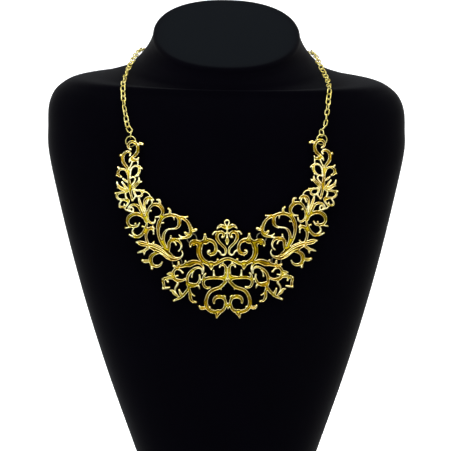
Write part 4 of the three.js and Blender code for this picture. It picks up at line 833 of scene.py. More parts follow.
@dataclass(frozen=True)
class Velvet:
    """Flocked velvet. Colours are linear red, green and blue."""

    name: str
    dark: Triple
    light: Triple
    # colour of the painted top light, where light from above falls on the bust's top
    painted_top_light: Triple
    sheen: float = 0.055
    sheen_roughness: float = 0.4
    bump_mm: float = 0.15
    bump_strength: float = 0.5

    def material(self, shop: FinishShop) -> bpy.types.Material:
        """The finish's material, made on first use.

        Args:
            shop: where finishes are made.

        Returns:
            The material.
        """
        # the bust's top gets a painted top light, as light from above falls on it
        pattern = {"Top Light Share": "painted_top_light", "Dark": (*self.dark, 1), "Light": (*self.light, 1),
                   "Top Light Color": (*self.painted_top_light, 1)}
        surface = {"Roughness": 1.0, "Specular IOR Level": 0.0, "Sheen Weight": self.sheen,
                   "Sheen Roughness": self.sheen_roughness}
        return shop.material(self.name, shop.pile, pattern, surface, self.bump_mm, self.bump_strength)


# The rim colour is a painted highlight; the recess colour is the dark antique finish, also used as painted
# shade.
CAST_GOLD = AntiqueGold("cast_gold", (0.06, 0.024, 0.0), (0.58, 0.435, 0.006), (0.61, 0.385, 0.008),
                        (1.0, 0.91, 0.5))
WIRE_GOLD = AntiqueGold("wire_gold", (0.05, 0.03, 0.004), (0.55, 0.45, 0.09), (0.54, 0.42, 0.07),
                        (1.0, 0.93, 0.46), 0.66)
# The link rings' own grey colour, darkened with painted shade for the shade behind the plates.
SHADED_GREY_RING = AntiqueGold("jump_ring_grey_painted_shade", (0.05, 0.03, 0.004), (0.2, 0.18, 0.11), (0.2, 0.17, 0.1),
                        (0.35, 0.32, 0.2), 0.6)
# The last colour is a painted top light on the bust's top, lighter where light from above falls.
BLACK_VELVET = Velvet("black_velvet", (0.0002, 0.0002, 0.0004), (0.0007, 0.0005, 0.0015),
                      (0.0013, 0.002, 0.0029))


# ---------------------------- the bust


@dataclass
class BustSurface:
    """The surface of the bust, smooth between its sections. Everything is in mm.

    Args:
        sections: its sections, from the foot up.
        first_sample: the section that samples of the skin start from.
        samples: points of the skin and their outward normals.
        chest_rows: heights and the row numbers where the middle of the bust reaches them.
    """

    sections: tuple[Section, ...] = BUST_SECTIONS
    first_sample: int = 4
    samples: tuple[np.ndarray, np.ndarray] = field(init=False)
    chest_rows: tuple[np.ndarray, np.ndarray] = field(init=False)

    def __post_init__(self) -> None:
        """Prepares the tables that places are looked up in."""
        last, probe = len(self.sections) - 1, 0.01
        rows = np.linspace(0, last, 3000)
        self.chest_rows = (self.values(rows)[:, 0], rows)
        grid = np.meshgrid(np.arange(self.first_sample, last, 0.1), np.radians(np.arange(0.5, 360, 2)))
        rows, angle = (part.ravel() for part in grid)
        points = self.points(rows, angle)
        around = self.points(rows, angle + probe) - points
        upward = self.points(rows + probe, angle) - points
        self.samples = (points, unit(np.cross(around, upward)))

    def values(self, rows: np.ndarray) -> np.ndarray:
        """Smooth values between the table's rows: z, half width, front, back, tilt and roll.

        Args:
            rows: row numbers.

        Returns:
            One row of six values for each row number.
        """
        table = np.array([astuple(section) for section in self.sections], float)
        last = len(table) - 1
        rows = np.clip(rows, 0, last)
        row = np.minimum(np.floor(rows).astype(int), last - 1)
        t = (rows - row)[:, None]
        before, start, end, after = (table[np.clip(row + step, 0, last)] for step in (-1, 0, 1, 2))
        return 0.5 * (2 * start + (end - before) * t
                      + (2 * before - 5 * start + 4 * end - after) * t * t
                      + (3 * start - before - 3 * end + after) * t * t * t)

    def points(self, rows: np.ndarray, angle: np.ndarray) -> np.ndarray:
        """Points of the surface.

        Args:
            rows: row numbers.
            angle: angles in radians, where 0 is +X and a quarter turn is the back.

        Returns:
            Rows of x, y and z.
        """
        z, half, front, back, tilt, roll = self.values(rows).T
        tilt, roll = np.radians(tilt), np.radians(roll)
        power = 2 / SECTION_POWER
        x = half * np.sign(np.cos(angle)) * np.abs(np.cos(angle)) ** power
        depth = (back - front) / 2 * np.sign(np.sin(angle)) * np.abs(np.sin(angle)) ** power
        y = (front + back) / 2 + depth * np.cos(tilt)
        return np.stack([x, y, z + depth * np.sin(tilt) - x * np.sin(roll)], axis=1)

    def lay(self, flat: np.ndarray) -> np.ndarray:
        """Lays flat points over the chest.

        Args:
            flat: rows of x, z and rise.

        Returns:
            Rows of x, y and z.
        """
        x, z, rise = np.asarray(flat, float).T
        _, half, front, back, _, _ = self.values(np.interp(z, *self.chest_rows)).T
        across = np.minimum(np.abs(x) / half, 1)
        bulge = (1 - across ** SECTION_POWER) ** (1 / SECTION_POWER)
        y = (front + back) / 2 - (back - front) / 2 * bulge
        return np.stack([x, y - SKIN_GAP - rise, z], axis=1)

    def axes_at(self, at: np.ndarray) -> np.ndarray:
        """The axes of a plate at a point of the chest.

        Args:
            at: x and z of the point.

        Returns:
            Unit vectors across, up and out of the plate, as rows.
        """
        x, z = at
        step = 0.5
        near = self.lay([(x + step, z, 0), (x - step, z, 0), (x, z + step, 0), (x, z - step, 0)])
        across = unit(near[0] - near[1])
        outward = unit(np.cross(across, unit(near[2] - near[3])))
        return np.stack([across, np.cross(outward, across), outward])

    def skin_below(self, point: np.ndarray) -> tuple[np.ndarray, np.ndarray]:
        """The place on the skin below a point.

        Args:
            point: x, y and z.

        Returns:
            The skin point and its outward normal.
        """
        points, normals = self.samples
        nearest = np.argmin(((points - point) ** 2).sum(axis=1))
        normal = normals[nearest]
        return point - normal * ((point - points[nearest]) @ normal), normal


@dataclass
class NeckBust:
    """Velvet display bust with a slanting flat top.

    Args:
        surface: its form.
        turns: facets around it.
        rows_per_section: facets up it, between two sections.
        rim_radius: radius in mm of the soft edge of its top and foot.
        rim_steps: facets over that edge.
        cap_scales: sizes of the loops of points on its top, from the rim in.
        rim_top_light: painted top light of the rim's last loops, from 0 to 1, lighter where light from above
            falls.
        cap_top_light: painted top light of the top's loops.
    """

    surface: BustSurface
    turns: int = 160
    rows_per_section: int = 8
    rim_radius: float = 2.2
    rim_steps: int = 5
    cap_scales: tuple[float, ...] = (0.98, 0.94, 0.88, 0.7, 0.4)
    rim_top_light: tuple[float, ...] = (0.25, 0.5)
    cap_top_light: tuple[float, ...] = (0.7, 0.9, 1.0, 1.0, 1.0)

    def build(self, material: bpy.types.Material) -> None:
        """Builds the bust as one closed mesh, with an attribute for how much painted top light each point
        gets.

        Args:
            material: its finish.
        """
        last_row = len(self.surface.sections) - 1
        rows = np.linspace(0, last_row, last_row * self.rows_per_section + 1)
        angles = np.linspace(0, 2 * np.pi, self.turns, endpoint=False)
        foot, *side, top = [self.surface.points(np.full(self.turns, row), angles) for row in rows]
        room = 1.3 * self.rim_radius
        side = [loop for loop in side
                if min(np.linalg.norm(loop - end, axis=1).mean() for end in (foot, top)) > room]
        side = [*self.rim(foot, side[0])[::-1], *side, *self.rim(top, side[-1])]
        middle = top.mean(axis=0)
        loops = [*side, *(middle + (side[-1] - middle) * scale for scale in self.cap_scales)]
        points = np.vstack([*loops, foot.mean(axis=0), middle])
        # painted top light: the top and its rounded edge are painted lighter, where light from above falls
        top_light_shares = [*[0.0] * (len(side) - len(self.rim_top_light)), *self.rim_top_light, *self.cap_top_light]
        faces = []
        last_loop = (len(loops) - 1) * self.turns
        for turn in range(self.turns):
            beside = (turn + 1) % self.turns
            faces += [[low + turn, low + beside, low + beside + self.turns, low + turn + self.turns]
                      for low in range(0, last_loop, self.turns)]
            faces.append([len(points) - 2, beside, turn])
            faces.append([len(points) - 1, last_loop + turn, last_loop + beside])
        piece = add_mesh("velvet_bust", points * MM, faces)
        store(piece, "painted_top_light", np.array([*np.repeat(top_light_shares, self.turns), 0.0, 1.0]))
        dress(piece, "neck_bust", material)

    def rim(self, edge: np.ndarray, inner: np.ndarray) -> list[np.ndarray]:
        """Rounds the edge between the side and a flat end.

        Args:
            edge: the loop of points at the sharp edge.
            inner: the next loop along the side.

        Returns:
            The loops that replace the edge, from the side to the flat end.
        """
        down = unit(inner - edge)
        across = unit(edge.mean(axis=0) - edge)
        bends = np.radians(np.linspace(0, 90, self.rim_steps + 1))
        return [edge + self.rim_radius * ((1 - np.sin(bend)) * down + (1 - np.cos(bend)) * across)
                for bend in bends]


# ---------------------------- cast plates


@dataclass(frozen=True)
class Cast:
    """A stroke or knob on a part of the sheet.

    Args:
        profile: its cross-section.
        area: the part of the sheet.
        inside: distance from its own edge, negative outside it.
        half: half its width.
        share: how far along it each point is, from 0 to 1.
    """

    profile: Profile
    area: tuple[slice, slice]
    inside: np.ndarray
    half: np.ndarray
    share: np.ndarray


@dataclass(frozen=True)
class Ridge:
    """Cross-section of a round ridge or dome.

    Args:
        foot: height of its edge in mm.
        rise: least height of its top over its edge in mm.
        growth: how much higher the top gets for each mm of half width.
        shade: colour level of its edge, a painted shade at its foot.
        top_highlight: how much higher the colour level is on its top, a painted highlight.
    """

    foot: float
    rise: float
    growth: float
    shade: float
    top_highlight: float

    def form(self, half: np.ndarray, ridge: np.ndarray) -> tuple[np.ndarray, np.ndarray]:
        """The height in mm and the colour level, where ridge runs from 0 at the edge to 1 at the top."""
        # painted shade at the foot, growing to a painted highlight on the top
        return (self.foot + (self.rise + self.growth * half) * ridge, self.shade + self.top_highlight * ridge ** 2)


# The last two numbers are the painted shade at a ridge's foot and the painted highlight on its top.
RIDGES: dict[Profile, Ridge] = {
    KNOB: Ridge(0.6, 0.4, 0.9, 0.2, 0.8),
    WIRE: Ridge(0.5, 0.7, 0.4, 0.2, 0.75),
    VEIN: Ridge(0.9, 0.75, 0.3, 0.25, 0.7),
}


@dataclass(frozen=True)
class BandForm:
    """Cross-section of a band or leaf: a wall, a rim with a bead on it, and a sunk field with a crown.

    Heights, except the first two fields, are shares of the rim's. The wall, moat, crown, vein and tip levels
    are colour levels: painted shade on the wall, a painted shadow line in the moat beside the bead that fades
    out at the crown, and painted highlights on a leaf's vein and tip.

    Args:
        height: height in mm of a rim of no width.
        growth: how much higher the rim gets for each mm of half width.
        rim: half width in mm of the bead, which is at most rim_share of the half width.
        shoulder: mm from the edge to the bead, at most shoulder_share of the half width.
        groove_from: half width in mm from which the field starts to sink.
        groove_over: how many mm wider it is once the field is sunk whole.
        moat: distance from the bead's crest to the crown, in bead half widths.
        crown_least: least distance in mm over which the crown rises.
        vein: half width in mm of a leaf's vein.
        tip_from: how far along a leaf the painted highlight on its tip starts.
        tip_over: over how much of its length that highlight comes to full strength.
    """

    height: float = 1.35
    growth: float = 0.28
    rim: float = 0.27
    rim_share: float = 0.3
    shoulder: float = 0.07
    shoulder_share: float = 0.25
    groove_from: float = 0.6
    groove_over: float = 0.3
    wall: float = 0.4
    lip: float = 0.75
    sink: float = 0.4
    crown: float = 0.12
    moat: float = 1.5
    crown_least: float = 0.3
    wall_painted_shade: float = 0.12
    moat_painted_shadow: float = 0.04
    crown_shade: float = 0.46
    vein: float = 0.28
    vein_rise: float = 0.9
    vein_painted_highlight: float = 0.95
    tip_from: float = 0.7
    tip_over: float = 0.25
    tip_painted_highlight: float = 0.85

    def form(self, cast: Cast, edge: np.ndarray, own: np.ndarray,
             ridge: np.ndarray) -> tuple[np.ndarray, np.ndarray]:
        """Forms a band or leaf.

        Args:
            cast: the band or leaf.
            edge: distance from the edge that its rims follow.
            own: distance from its own edge.
            ridge: from 0 at its own edge to 1 along its middle.

        Returns:
            Its height in mm and its colour level.
        """
        half = cast.half
        full = self.height + self.growth * half
        rim = np.minimum(self.rim, self.rim_share * half)
        crest = np.minimum(self.shoulder, self.shoulder_share * half) + rim
        groove = np.clip((half - self.groove_from) / self.groove_over, 0, 1)
        wall, floor = full * self.wall, full * (1 - self.sink * groove)
        bead = np.clip(0.7 + 0.8 * np.cos(np.pi * np.clip((edge - crest) / (1.3 * rim), -1, 1)), 0, 1)
        moat = crest + self.moat * rim
        crown = np.clip((edge - moat) / np.maximum(half - moat, self.crown_least), 0, 1)
        inner = np.maximum(floor + (full - floor) * bead, floor + self.crown * full * crown * groove)
        slope = wall + (full * self.lip - wall) * np.clip(edge / (crest - 0.6 * rim), 0, 1)
        rise = np.where(edge < crest, np.maximum(slope, wall + (full - wall) * bead), inner)
        # the field: a painted shadow line beside the bead, fading out at the crown, and the bead's painted
        # highlight
        shade = self.moat_painted_shadow + (1 - self.moat_painted_shadow) * bead + self.crown_shade * crown
        # the outer wall and slope: painted shade below the bead's painted highlight
        patina_light_level = np.where(edge < crest, self.wall_painted_shade + (1 - self.wall_painted_shade) * bead,
                          1 + (shade - 1) * groove)
        if cast.profile is LEAF:
            vein = np.sqrt(np.clip(1 - ((half - own) / self.vein) ** 2, 0, 1)) * groove
            rise = np.maximum(rise, floor + (full - floor) * vein * self.vein_rise)
            # painted highlight along a leaf's vein
            patina_light_level = np.maximum(patina_light_level, self.vein_painted_highlight * vein ** 2)
            # painted highlight along a leaf's middle towards its tip
            tip = np.clip((cast.share - self.tip_from) / self.tip_over, 0, self.tip_painted_highlight)
            patina_light_level = np.maximum(patina_light_level, ridge * tip)
        return rise, patina_light_level


@dataclass
class ReliefSheet:
    """A casting's outline and height over a fine square sheet of points, in mm.

    inside is the distance to the nearest edge of metal, and is negative in the openings.

    Args:
        root: how deep inside a band or leaf a wire that grows out of it is gone.
        depth_reach: the largest distance from an edge that is worked out.
        end_height: height of a stroke's ends, as a share of its middle's.
        end_share: how much of a stroke's length each low end takes.
        cut_margin: how near the outline may come to a point of the sheet, as a share of the pitch.
    """

    low: np.ndarray
    high: np.ndarray
    pitch: float
    band: BandForm = BandForm()
    root: float = 0.45
    depth_reach: float = 1.4
    end_height: float = 0.85
    end_share: float = 0.12
    steps_per_span: int = 8
    cut_margin: float = 0.15
    casts: list[Cast] = field(default_factory=list)

    # The polygons of a cell of the sheet by which of its corners are metal: bit 0 is the low corner,
    # and the rest go round. Numbers 0 to 3 are the corners, and 4 to 7 are the cuts of its sides.
    CELL_SHAPES = {
        1: ((0, 4, 7),), 2: ((1, 5, 4),), 3: ((0, 1, 5, 7),), 4: ((2, 6, 5),),
        5: ((0, 4, 7), (2, 6, 5)), 6: ((1, 2, 6, 4),), 7: ((0, 1, 2, 6, 7),), 8: ((3, 7, 6),),
        9: ((0, 4, 6, 3),), 10: ((1, 5, 4), (3, 7, 6)), 11: ((0, 1, 5, 6, 3),), 12: ((2, 3, 7, 5),),
        13: ((0, 4, 5, 2, 3),), 14: ((1, 2, 3, 7, 4),), 15: ((0, 1, 2, 3),),
    }

    def __post_init__(self) -> None:
        """Lays out the empty sheet."""
        self.xs = np.arange(self.low[0], self.high[0] + self.pitch, self.pitch)
        self.zs = np.arange(self.low[1], self.high[1] + self.pitch, self.pitch)
        self.inside = np.full((len(self.xs), len(self.zs)), -1.0)
        self.broad = self.inside.copy()
        self.height, self.edge_height, self.patina_light_level = (np.zeros_like(self.inside) for _ in range(3))

    def window(self, low: np.ndarray, high: np.ndarray) -> tuple[slice, slice]:
        """The part of the sheet between two corners.

        Args:
            low: lowest x and z.
            high: highest x and z.

        Returns:
            Slices along x and z.
        """
        first = np.maximum(np.floor((low - self.low) / self.pitch).astype(int), 0)
        last = np.ceil((high - self.low) / self.pitch).astype(int) + 1
        return slice(first[0], last[0]), slice(first[1], last[1])

    def add_stroke(self, stroke: Stroke, place: Place) -> None:
        """Adds one stroke to the sheet.

        Args:
            stroke: the stroke.
            place: where its drawing goes.
        """
        line = smooth_line(place.put(stroke.path), self.steps_per_span)
        share = distances_along(line) / distances_along(line)[-1]
        half = np.interp(share, np.linspace(0, 1, len(stroke.widths)), stroke.widths) / 2
        reach = half.max() + 2 * self.pitch
        area = self.window(line.min(axis=0) - reach, line.max(axis=0) + reach)
        x, z = self.xs[area[0]][:, None], self.zs[area[1]][None, :]
        nearest = np.full((x.size, z.size), np.inf)
        half_here = np.full_like(nearest, half[0])
        share_here = np.zeros_like(nearest)
        for index in range(len(line) - 1):
            start, step = line[index], line[index + 1] - line[index]
            length = np.hypot(*step)
            along = ((x - start[0]) * step[0] + (z - start[1]) * step[1]) / length
            side = ((x - start[0]) * step[1] - (z - start[1]) * step[0]) / length
            beyond = np.maximum(along - length, 0) + np.maximum(-along, 0)
            blunt = 2 if index in (0, len(line) - 2) else 1
            gap = np.hypot(side, beyond * blunt)
            t = np.clip(along / length, 0, 1)
            closer = gap < nearest
            nearest = np.where(closer, gap, nearest)
            half_here = np.where(closer, half[index] + (half[index + 1] - half[index]) * t, half_here)
            share_here = np.where(closer, share[index] + (share[index + 1] - share[index]) * t, share_here)
        self.keep(Cast(stroke.profile, area, half_here - nearest, half_here, share_here))

    def add_knob(self, x: float, z: float, radius: float) -> None:
        """Adds a round knob.

        Args:
            x: its middle across the bust.
            z: its middle up the bust.
            radius: its radius.
        """
        center, reach = np.array([x, z]), radius + 2 * self.pitch
        area = self.window(center - reach, center + reach)
        gap = np.hypot(self.xs[area[0]][:, None] - x, self.zs[area[1]][None, :] - z)
        self.keep(Cast(KNOB, area, radius - gap, np.full_like(gap, radius), np.full_like(gap, 0.5)))

    def keep(self, cast: Cast) -> None:
        """Joins a shape's outline to the metal's.

        Args:
            cast: the stroke or knob.
        """
        self.inside[cast.area] = np.maximum(self.inside[cast.area], cast.inside)
        if cast.profile in (BAND, LEAF):
            self.broad[cast.area] = np.maximum(self.broad[cast.area], cast.inside)
        self.casts.append(cast)

    def form(self) -> None:
        """Gives the metal its height and its colour level. Rims follow the edge of all the metal together."""
        depth = self.depth()
        for cast in self.casts:
            edge = depth if cast.profile is BAND else np.clip(self.inside, 0, None)
            rise, patina_light_level = self.section(cast, edge[cast.area])
            if cast.profile is WIRE:
                rise = rise * np.clip(1 - self.broad[cast.area] / self.root, 0, 1)
            higher = (cast.inside > 0) & (rise > self.height[cast.area])
            self.height[cast.area] = np.where(higher, rise, self.height[cast.area])
            self.patina_light_level[cast.area] = np.where(higher, patina_light_level, self.patina_light_level[cast.area])
            beside = (cast.inside <= 0) & (cast.inside > -1.5 * self.pitch)
            self.edge_height[cast.area] = np.maximum(self.edge_height[cast.area], np.where(beside, rise, 0))

    def depth(self) -> np.ndarray:
        """Distance from the outline of all the metal together, up to its reach and 0 outside.

        Returns:
            The distance at each point of the sheet.
        """
        steps = int(self.depth_reach / self.pitch)
        depth = np.full_like(self.inside, self.depth_reach)
        outside = np.where(self.inside > 0, self.depth_reach, self.inside)
        for across in range(-steps, steps + 1):
            for up in range(-steps, steps + 1):
                way = math.hypot(across, up) * self.pitch
                if way < self.depth_reach:
                    depth = np.minimum(depth, way + np.roll(outside, (across, up), (0, 1)))
        return np.where(self.inside > 0, np.maximum(depth, 0), 0)

    def section(self, cast: Cast, edge: np.ndarray) -> tuple[np.ndarray, np.ndarray]:
        """The cross-section of a stroke or knob. All but veins get lower at their ends.

        Args:
            cast: the stroke or knob.
            edge: distance from the edge that its rims follow.

        Returns:
            Its height in mm, and its colour level, from 0 for the antique finish and painted shade to 1 for a
            rim's painted highlight.
        """
        own = np.clip(cast.inside, 0, None)
        ridge = np.sqrt(np.clip(1 - (1 - own / cast.half) ** 2, 0, 1))
        if cast.profile in RIDGES:
            rise, patina_light_level = RIDGES[cast.profile].form(cast.half, ridge)
        else:
            rise, patina_light_level = self.band.form(cast, edge, own, ridge)
        if cast.profile is VEIN:
            return rise, patina_light_level
        to_end = np.clip(np.minimum(cast.share, 1 - cast.share) / self.end_share, 0, 1)
        return (self.end_height + (1 - self.end_height) * to_end) * rise, patina_light_level

    def soften(self) -> None:
        """Melts the sheet's sharpest creases, as casting does."""
        metal = (self.inside > 0).astype(float)
        count, height, patina_light_level = (np.zeros_like(metal) for _ in range(3))
        for across in (-1, 0, 1):
            for up in (-1, 0, 1):
                weight = (2 - abs(across)) * (2 - abs(up))
                count += weight * np.roll(metal, (across, up), (0, 1))
                height += weight * np.roll(self.height * metal, (across, up), (0, 1))
                patina_light_level += weight * np.roll(self.patina_light_level * metal, (across, up), (0, 1))
        count = np.maximum(count, 1)
        self.height = np.where(metal > 0, height / count, self.height)
        self.patina_light_level = np.where(metal > 0, patina_light_level / count, self.patina_light_level)

    def crossings(self, axis: int, number: int) -> tuple[np.ndarray, np.ndarray]:
        """Where the outline cuts the sheet's lines along one axis.

        Args:
            axis: 0 for lines along x and 1 for lines along z.
            number: number of the first crossing.

        Returns:
            The number of the crossing after each point or -1, and rows of x, z and rise.
        """
        step = (1, 0) if axis == 0 else (0, 1)
        here = (slice(0, -1), slice(None)) if axis == 0 else (slice(None), slice(0, -1))
        beyond = np.roll(self.inside, -1, axis)[here]
        i, j = np.nonzero((self.inside[here] > 0) != (beyond > 0))
        after = (i + step[0], j + step[1])
        start, end = self.inside[i, j], self.inside[after]
        t = np.clip(start / (start - end), self.cut_margin, 1 - self.cut_margin)
        metal = (np.where(start > 0, i, after[0]), np.where(start > 0, j, after[1]))
        outer = (np.where(start > 0, after[0], i), np.where(start > 0, after[1], j))
        near = np.where(start > 0, t, 1 - t)
        height = self.height[metal]
        rise = height * (1 - near) + np.minimum(self.edge_height[outer], height) * near
        numbers = np.full(self.inside.shape, -1)
        numbers[i, j] = number + np.arange(len(i))
        x = self.xs[i] + t * self.pitch * step[0]
        z = self.zs[j] + t * self.pitch * step[1]
        return numbers, np.stack([x, z, rise], axis=1)

    def solid(self, outline_painted_shade: float = 0.08) -> tuple[np.ndarray, list[list[int]], np.ndarray]:
        """The casting as a closed solid.

        Args:
            outline_painted_shade: colour level of its outline, a painted shade along its edges.

        Returns:
            Rows of x, z and rise, the faces, and the colour level of each point.
        """
        i, j = np.nonzero(self.inside > 0)
        numbers = np.full(self.inside.shape, -1)
        numbers[i, j] = np.arange(len(i))
        x_cuts, x_points = self.crossings(0, len(i))
        z_cuts, z_points = self.crossings(1, len(i) + len(x_points))
        top = np.vstack([np.stack([self.xs[i], self.zs[j], self.height[i, j]], axis=1), x_points, z_points])
        count = len(top)
        # the outline and the bottom get low levels, so the walls are painted dark as shade
        patina_light_level = np.concatenate([self.patina_light_level[i, j], np.full(count - len(i), outline_painted_shade), np.zeros(count)])
        corners = np.stack([numbers[:-1, :-1], numbers[1:, :-1], numbers[1:, 1:], numbers[:-1, 1:],
                            x_cuts[:-1, :-1], z_cuts[1:, :-1], x_cuts[:-1, 1:], z_cuts[:-1, :-1]], axis=-1)
        code = sum((corners[:, :, corner] >= 0).astype(int) << corner for corner in range(4))
        faces: list[list[int]] = []
        for shape, polygons in self.CELL_SHAPES.items():
            cells = corners[code == shape]
            for polygon in polygons:
                upper = cells[:, polygon]
                faces += upper.tolist() + (upper[:, ::-1] + count).tolist()
                for a, b in zip(polygon, (*polygon[1:], polygon[0])):
                    if a >= 4 and b >= 4:
                        end, start = cells[:, b], cells[:, a]
                        faces += np.stack([end, start, start + count, end + count], axis=1).tolist()
        return np.vstack([top, top * (1, 1, 0)]), faces, patina_light_level


@dataclass
class Casting:
    """A cast plate: its raised work laid over the chest, with staples on its back for the link rings.

    Args:
        drawings: strokes, knobs and place of each part of its drawing.
        staples: points of x and z that a ring's wire passes, with the ring's outward direction there.
        pitch: distance between the points of its sheet in mm.
        margin: how far the sheet of points reaches past the drawing in mm.
    """

    name: str
    node: str
    drawings: tuple[tuple[tuple[Stroke, ...], tuple, Place], ...]
    staples: list[tuple[np.ndarray, np.ndarray]]
    pitch: float
    margin: float = 4
    staple_patina_light_level: float = 0.4

    def build(self, surface: BustSurface, material: bpy.types.Material) -> None:
        """Casts the plate.

        Args:
            surface: the bust that it lies on.
            material: its finish.
        """
        points = np.vstack([place.put(stroke.path) for strokes, _, place in self.drawings
                            for stroke in strokes])
        sheet = ReliefSheet(points.min(axis=0) - self.margin, points.max(axis=0) + self.margin, self.pitch)
        for strokes, knobs, place in self.drawings:
            for stroke in strokes:
                sheet.add_stroke(stroke, place)
            for x, z, radius in knobs:
                sheet.add_knob(*place.put([(x, z)])[0], radius)
        sheet.form()
        sheet.soften()
        flat, faces, patina_light_level = sheet.solid()
        for at, outward in self.staples:
            staple, sides = self.staple(at, outward)
            faces += [[len(flat) + corner for corner in side] for side in sides]
            flat = np.vstack([flat, staple])
        patina_light_level = np.concatenate([patina_light_level, np.full(len(flat) - len(patina_light_level), self.staple_patina_light_level)])
        piece = add_mesh(self.name, surface.lay(flat) * MM, faces)
        # colour level: the antique finish with painted shade low, and painted highlights high
        store(piece, "patina_light_level", patina_light_level)
        crease(piece)
        dress(piece, self.node, material)

    def staple(self, at: np.ndarray, outward: np.ndarray, depth: float = 2.2, wall: float = 0.8,
               bar: float = 0.7, width: float = 1.2, eye: float = 1.5, seat: float = 0.4,
               corner: float = 0.35) -> tuple[np.ndarray, list[list[int]]]:
        """A staple around a ring's wire: two walls that go into the plate and a bar behind the wire.

        Args:
            at: x and z of the wire.
            outward: direction from the ring's centre to the wire.
            depth: how far it stands out of the plate's back.
            wall: thickness of its walls.
            bar: thickness of its bar.
            width: its width along the wire.
            eye: distance between its walls.
            seat: how far its walls go into the plate.
            corner: how far its corners are cut.

        Returns:
            Rows of x, z and rise in mm, and faces.
        """
        reach = eye / 2 + wall
        outline = [(-reach, seat), (-reach, corner - depth), (corner - reach, -depth),
                   (reach - corner, -depth), (reach, corner - depth), (reach, seat),
                   (eye / 2, seat), (eye / 2, bar - depth), (-eye / 2, bar - depth), (-eye / 2, seat)]
        side = np.array([-outward[1], outward[0]])
        rows = [[*(at + along * outward + half * side), rise]
                for half in (-width / 2, width / 2) for along, rise in outline]
        count = len(outline)
        faces = [list(range(count)), list(range(2 * count - 1, count - 1, -1))]
        faces += [[index, index + count, (index + 1) % count + count, (index + 1) % count]
                  for index in range(count)]
        return np.array(rows), faces


# ---------------------------- rings


def build_ring(node: str, axes: np.ndarray, center: np.ndarray, radius: float, wire: float, cut: float,
               material: bpy.types.Material, turns: int = 72, sides: int = 16, slit: float = 0.12) -> None:
    """Builds a ring of round wire, cut through at one place as jump rings are. Its sizes are in mm.

    Args:
        node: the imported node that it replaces.
        axes: rows of unit vectors, two in the ring's plane and its axis.
        center: its centre.
        radius: radius of its centre line.
        wire: diameter of its wire.
        cut: where it is cut, in degrees from the first axis.
        material: its finish.
        turns: facets around it.
        sides: facets around its wire.
        slit: width of the cut.
    """
    half_slit = slit / 2 / radius
    around = np.radians(cut) + np.linspace(half_slit, 2 * np.pi - half_slit, turns + 1)[:, None]
    wrap = np.linspace(0, 2 * np.pi, sides, endpoint=False)[None, :]
    reach = radius + wire / 2 * np.cos(wrap)
    local = np.stack([reach * np.cos(around), reach * np.sin(around),
                      wire / 2 * np.sin(wrap) * np.ones_like(around)], axis=-1)
    faces = [[turn * sides + side, (turn + 1) * sides + side,
              (turn + 1) * sides + (side + 1) % sides, turn * sides + (side + 1) % sides]
             for turn in range(turns) for side in range(sides)]
    faces += [list(range(sides)), [turns * sides + side for side in reversed(range(sides))]]
    piece = add_mesh(f"{node}_wire", (local.reshape(-1, 3) @ axes + center) * MM, faces)
    crease(piece)
    dress(piece, node, material)


@dataclass
class LinkRing:
    """A jump ring behind the plates, through a staple of the center plate and one of a wing.

    Args:
        center_wire: x and z where its wire passes the center plate's staple.
        wing_wire: x and z where its wire passes the wing's staple.
    """

    node: str
    side: int
    center_wire: np.ndarray
    wing_wire: np.ndarray
    wire: float = 0.75
    cut: float = 90
    middle: np.ndarray = field(init=False)

    def __post_init__(self) -> None:
        """Finds the ring's centre, on the hub's side of the two staples."""
        half = (self.wing_wire - self.center_wire) / 2
        inward = unit(np.array([-half[1], half[0]])) * self.side
        self.middle = self.center_wire + half + inward * math.sqrt(LINK_RING_RADIUS ** 2 - half @ half)

    def staple(self, wire: np.ndarray) -> tuple[np.ndarray, np.ndarray]:
        """A staple's place on the wire, and its direction from the ring's centre."""
        return wire, unit(wire - self.middle)

    def build(self, surface: BustSurface, material: bpy.types.Material) -> None:
        """Builds the ring.

        Args:
            surface: the bust.
            material: its finish.
        """
        center = surface.lay([(*self.middle, RING_RISE)])[0]
        build_ring(self.node, surface.axes_at(self.middle), center, LINK_RING_RADIUS, self.wire, self.cut,
                   material)


@dataclass
class EndRing:
    """A jump ring through a staple of a wing. Its top leans out and carries the chain. Sizes are in mm.

    Args:
        at: its centre in the wing's drawing.
        staple_at: where its wire passes the wing's staple, in the drawing.
        axes: its axes: across, towards the chain, and its own axis.
    """

    node: str
    place: Place
    surface: BustSurface
    at: Pair = (62.2, 230.9)
    staple_at: Pair = (59.0, 230.0)
    radius: float = 3.3
    wire: float = 0.8
    lean_deg: float = 10
    cut: float = 235
    center: np.ndarray = field(init=False)
    axes: np.ndarray = field(init=False)

    def __post_init__(self) -> None:
        """Finds the ring's centre and its axes."""
        at = self.place.put([self.at])[0]
        across, upward, outward = self.surface.axes_at(at)
        lean = math.radians(self.lean_deg)
        pull = upward * math.cos(lean) + outward * math.sin(lean)
        self.center = self.surface.lay([(*at, RING_RISE)])[0]
        self.axes = np.stack([across, pull, outward * math.cos(lean) - upward * math.sin(lean)])

    def staple(self) -> tuple[np.ndarray, np.ndarray]:
        """The point of the wire that the wing's staple holds, and its direction from the ring's centre."""
        at, wire = self.place.put([self.at, self.staple_at])
        return wire, unit(wire - at)

    def build(self, material: bpy.types.Material) -> None:
        """Builds the ring with its finish."""
        build_ring(self.node, self.axes, self.center, self.radius, self.wire, self.cut, material)


# ---------------------------- clasp and chains


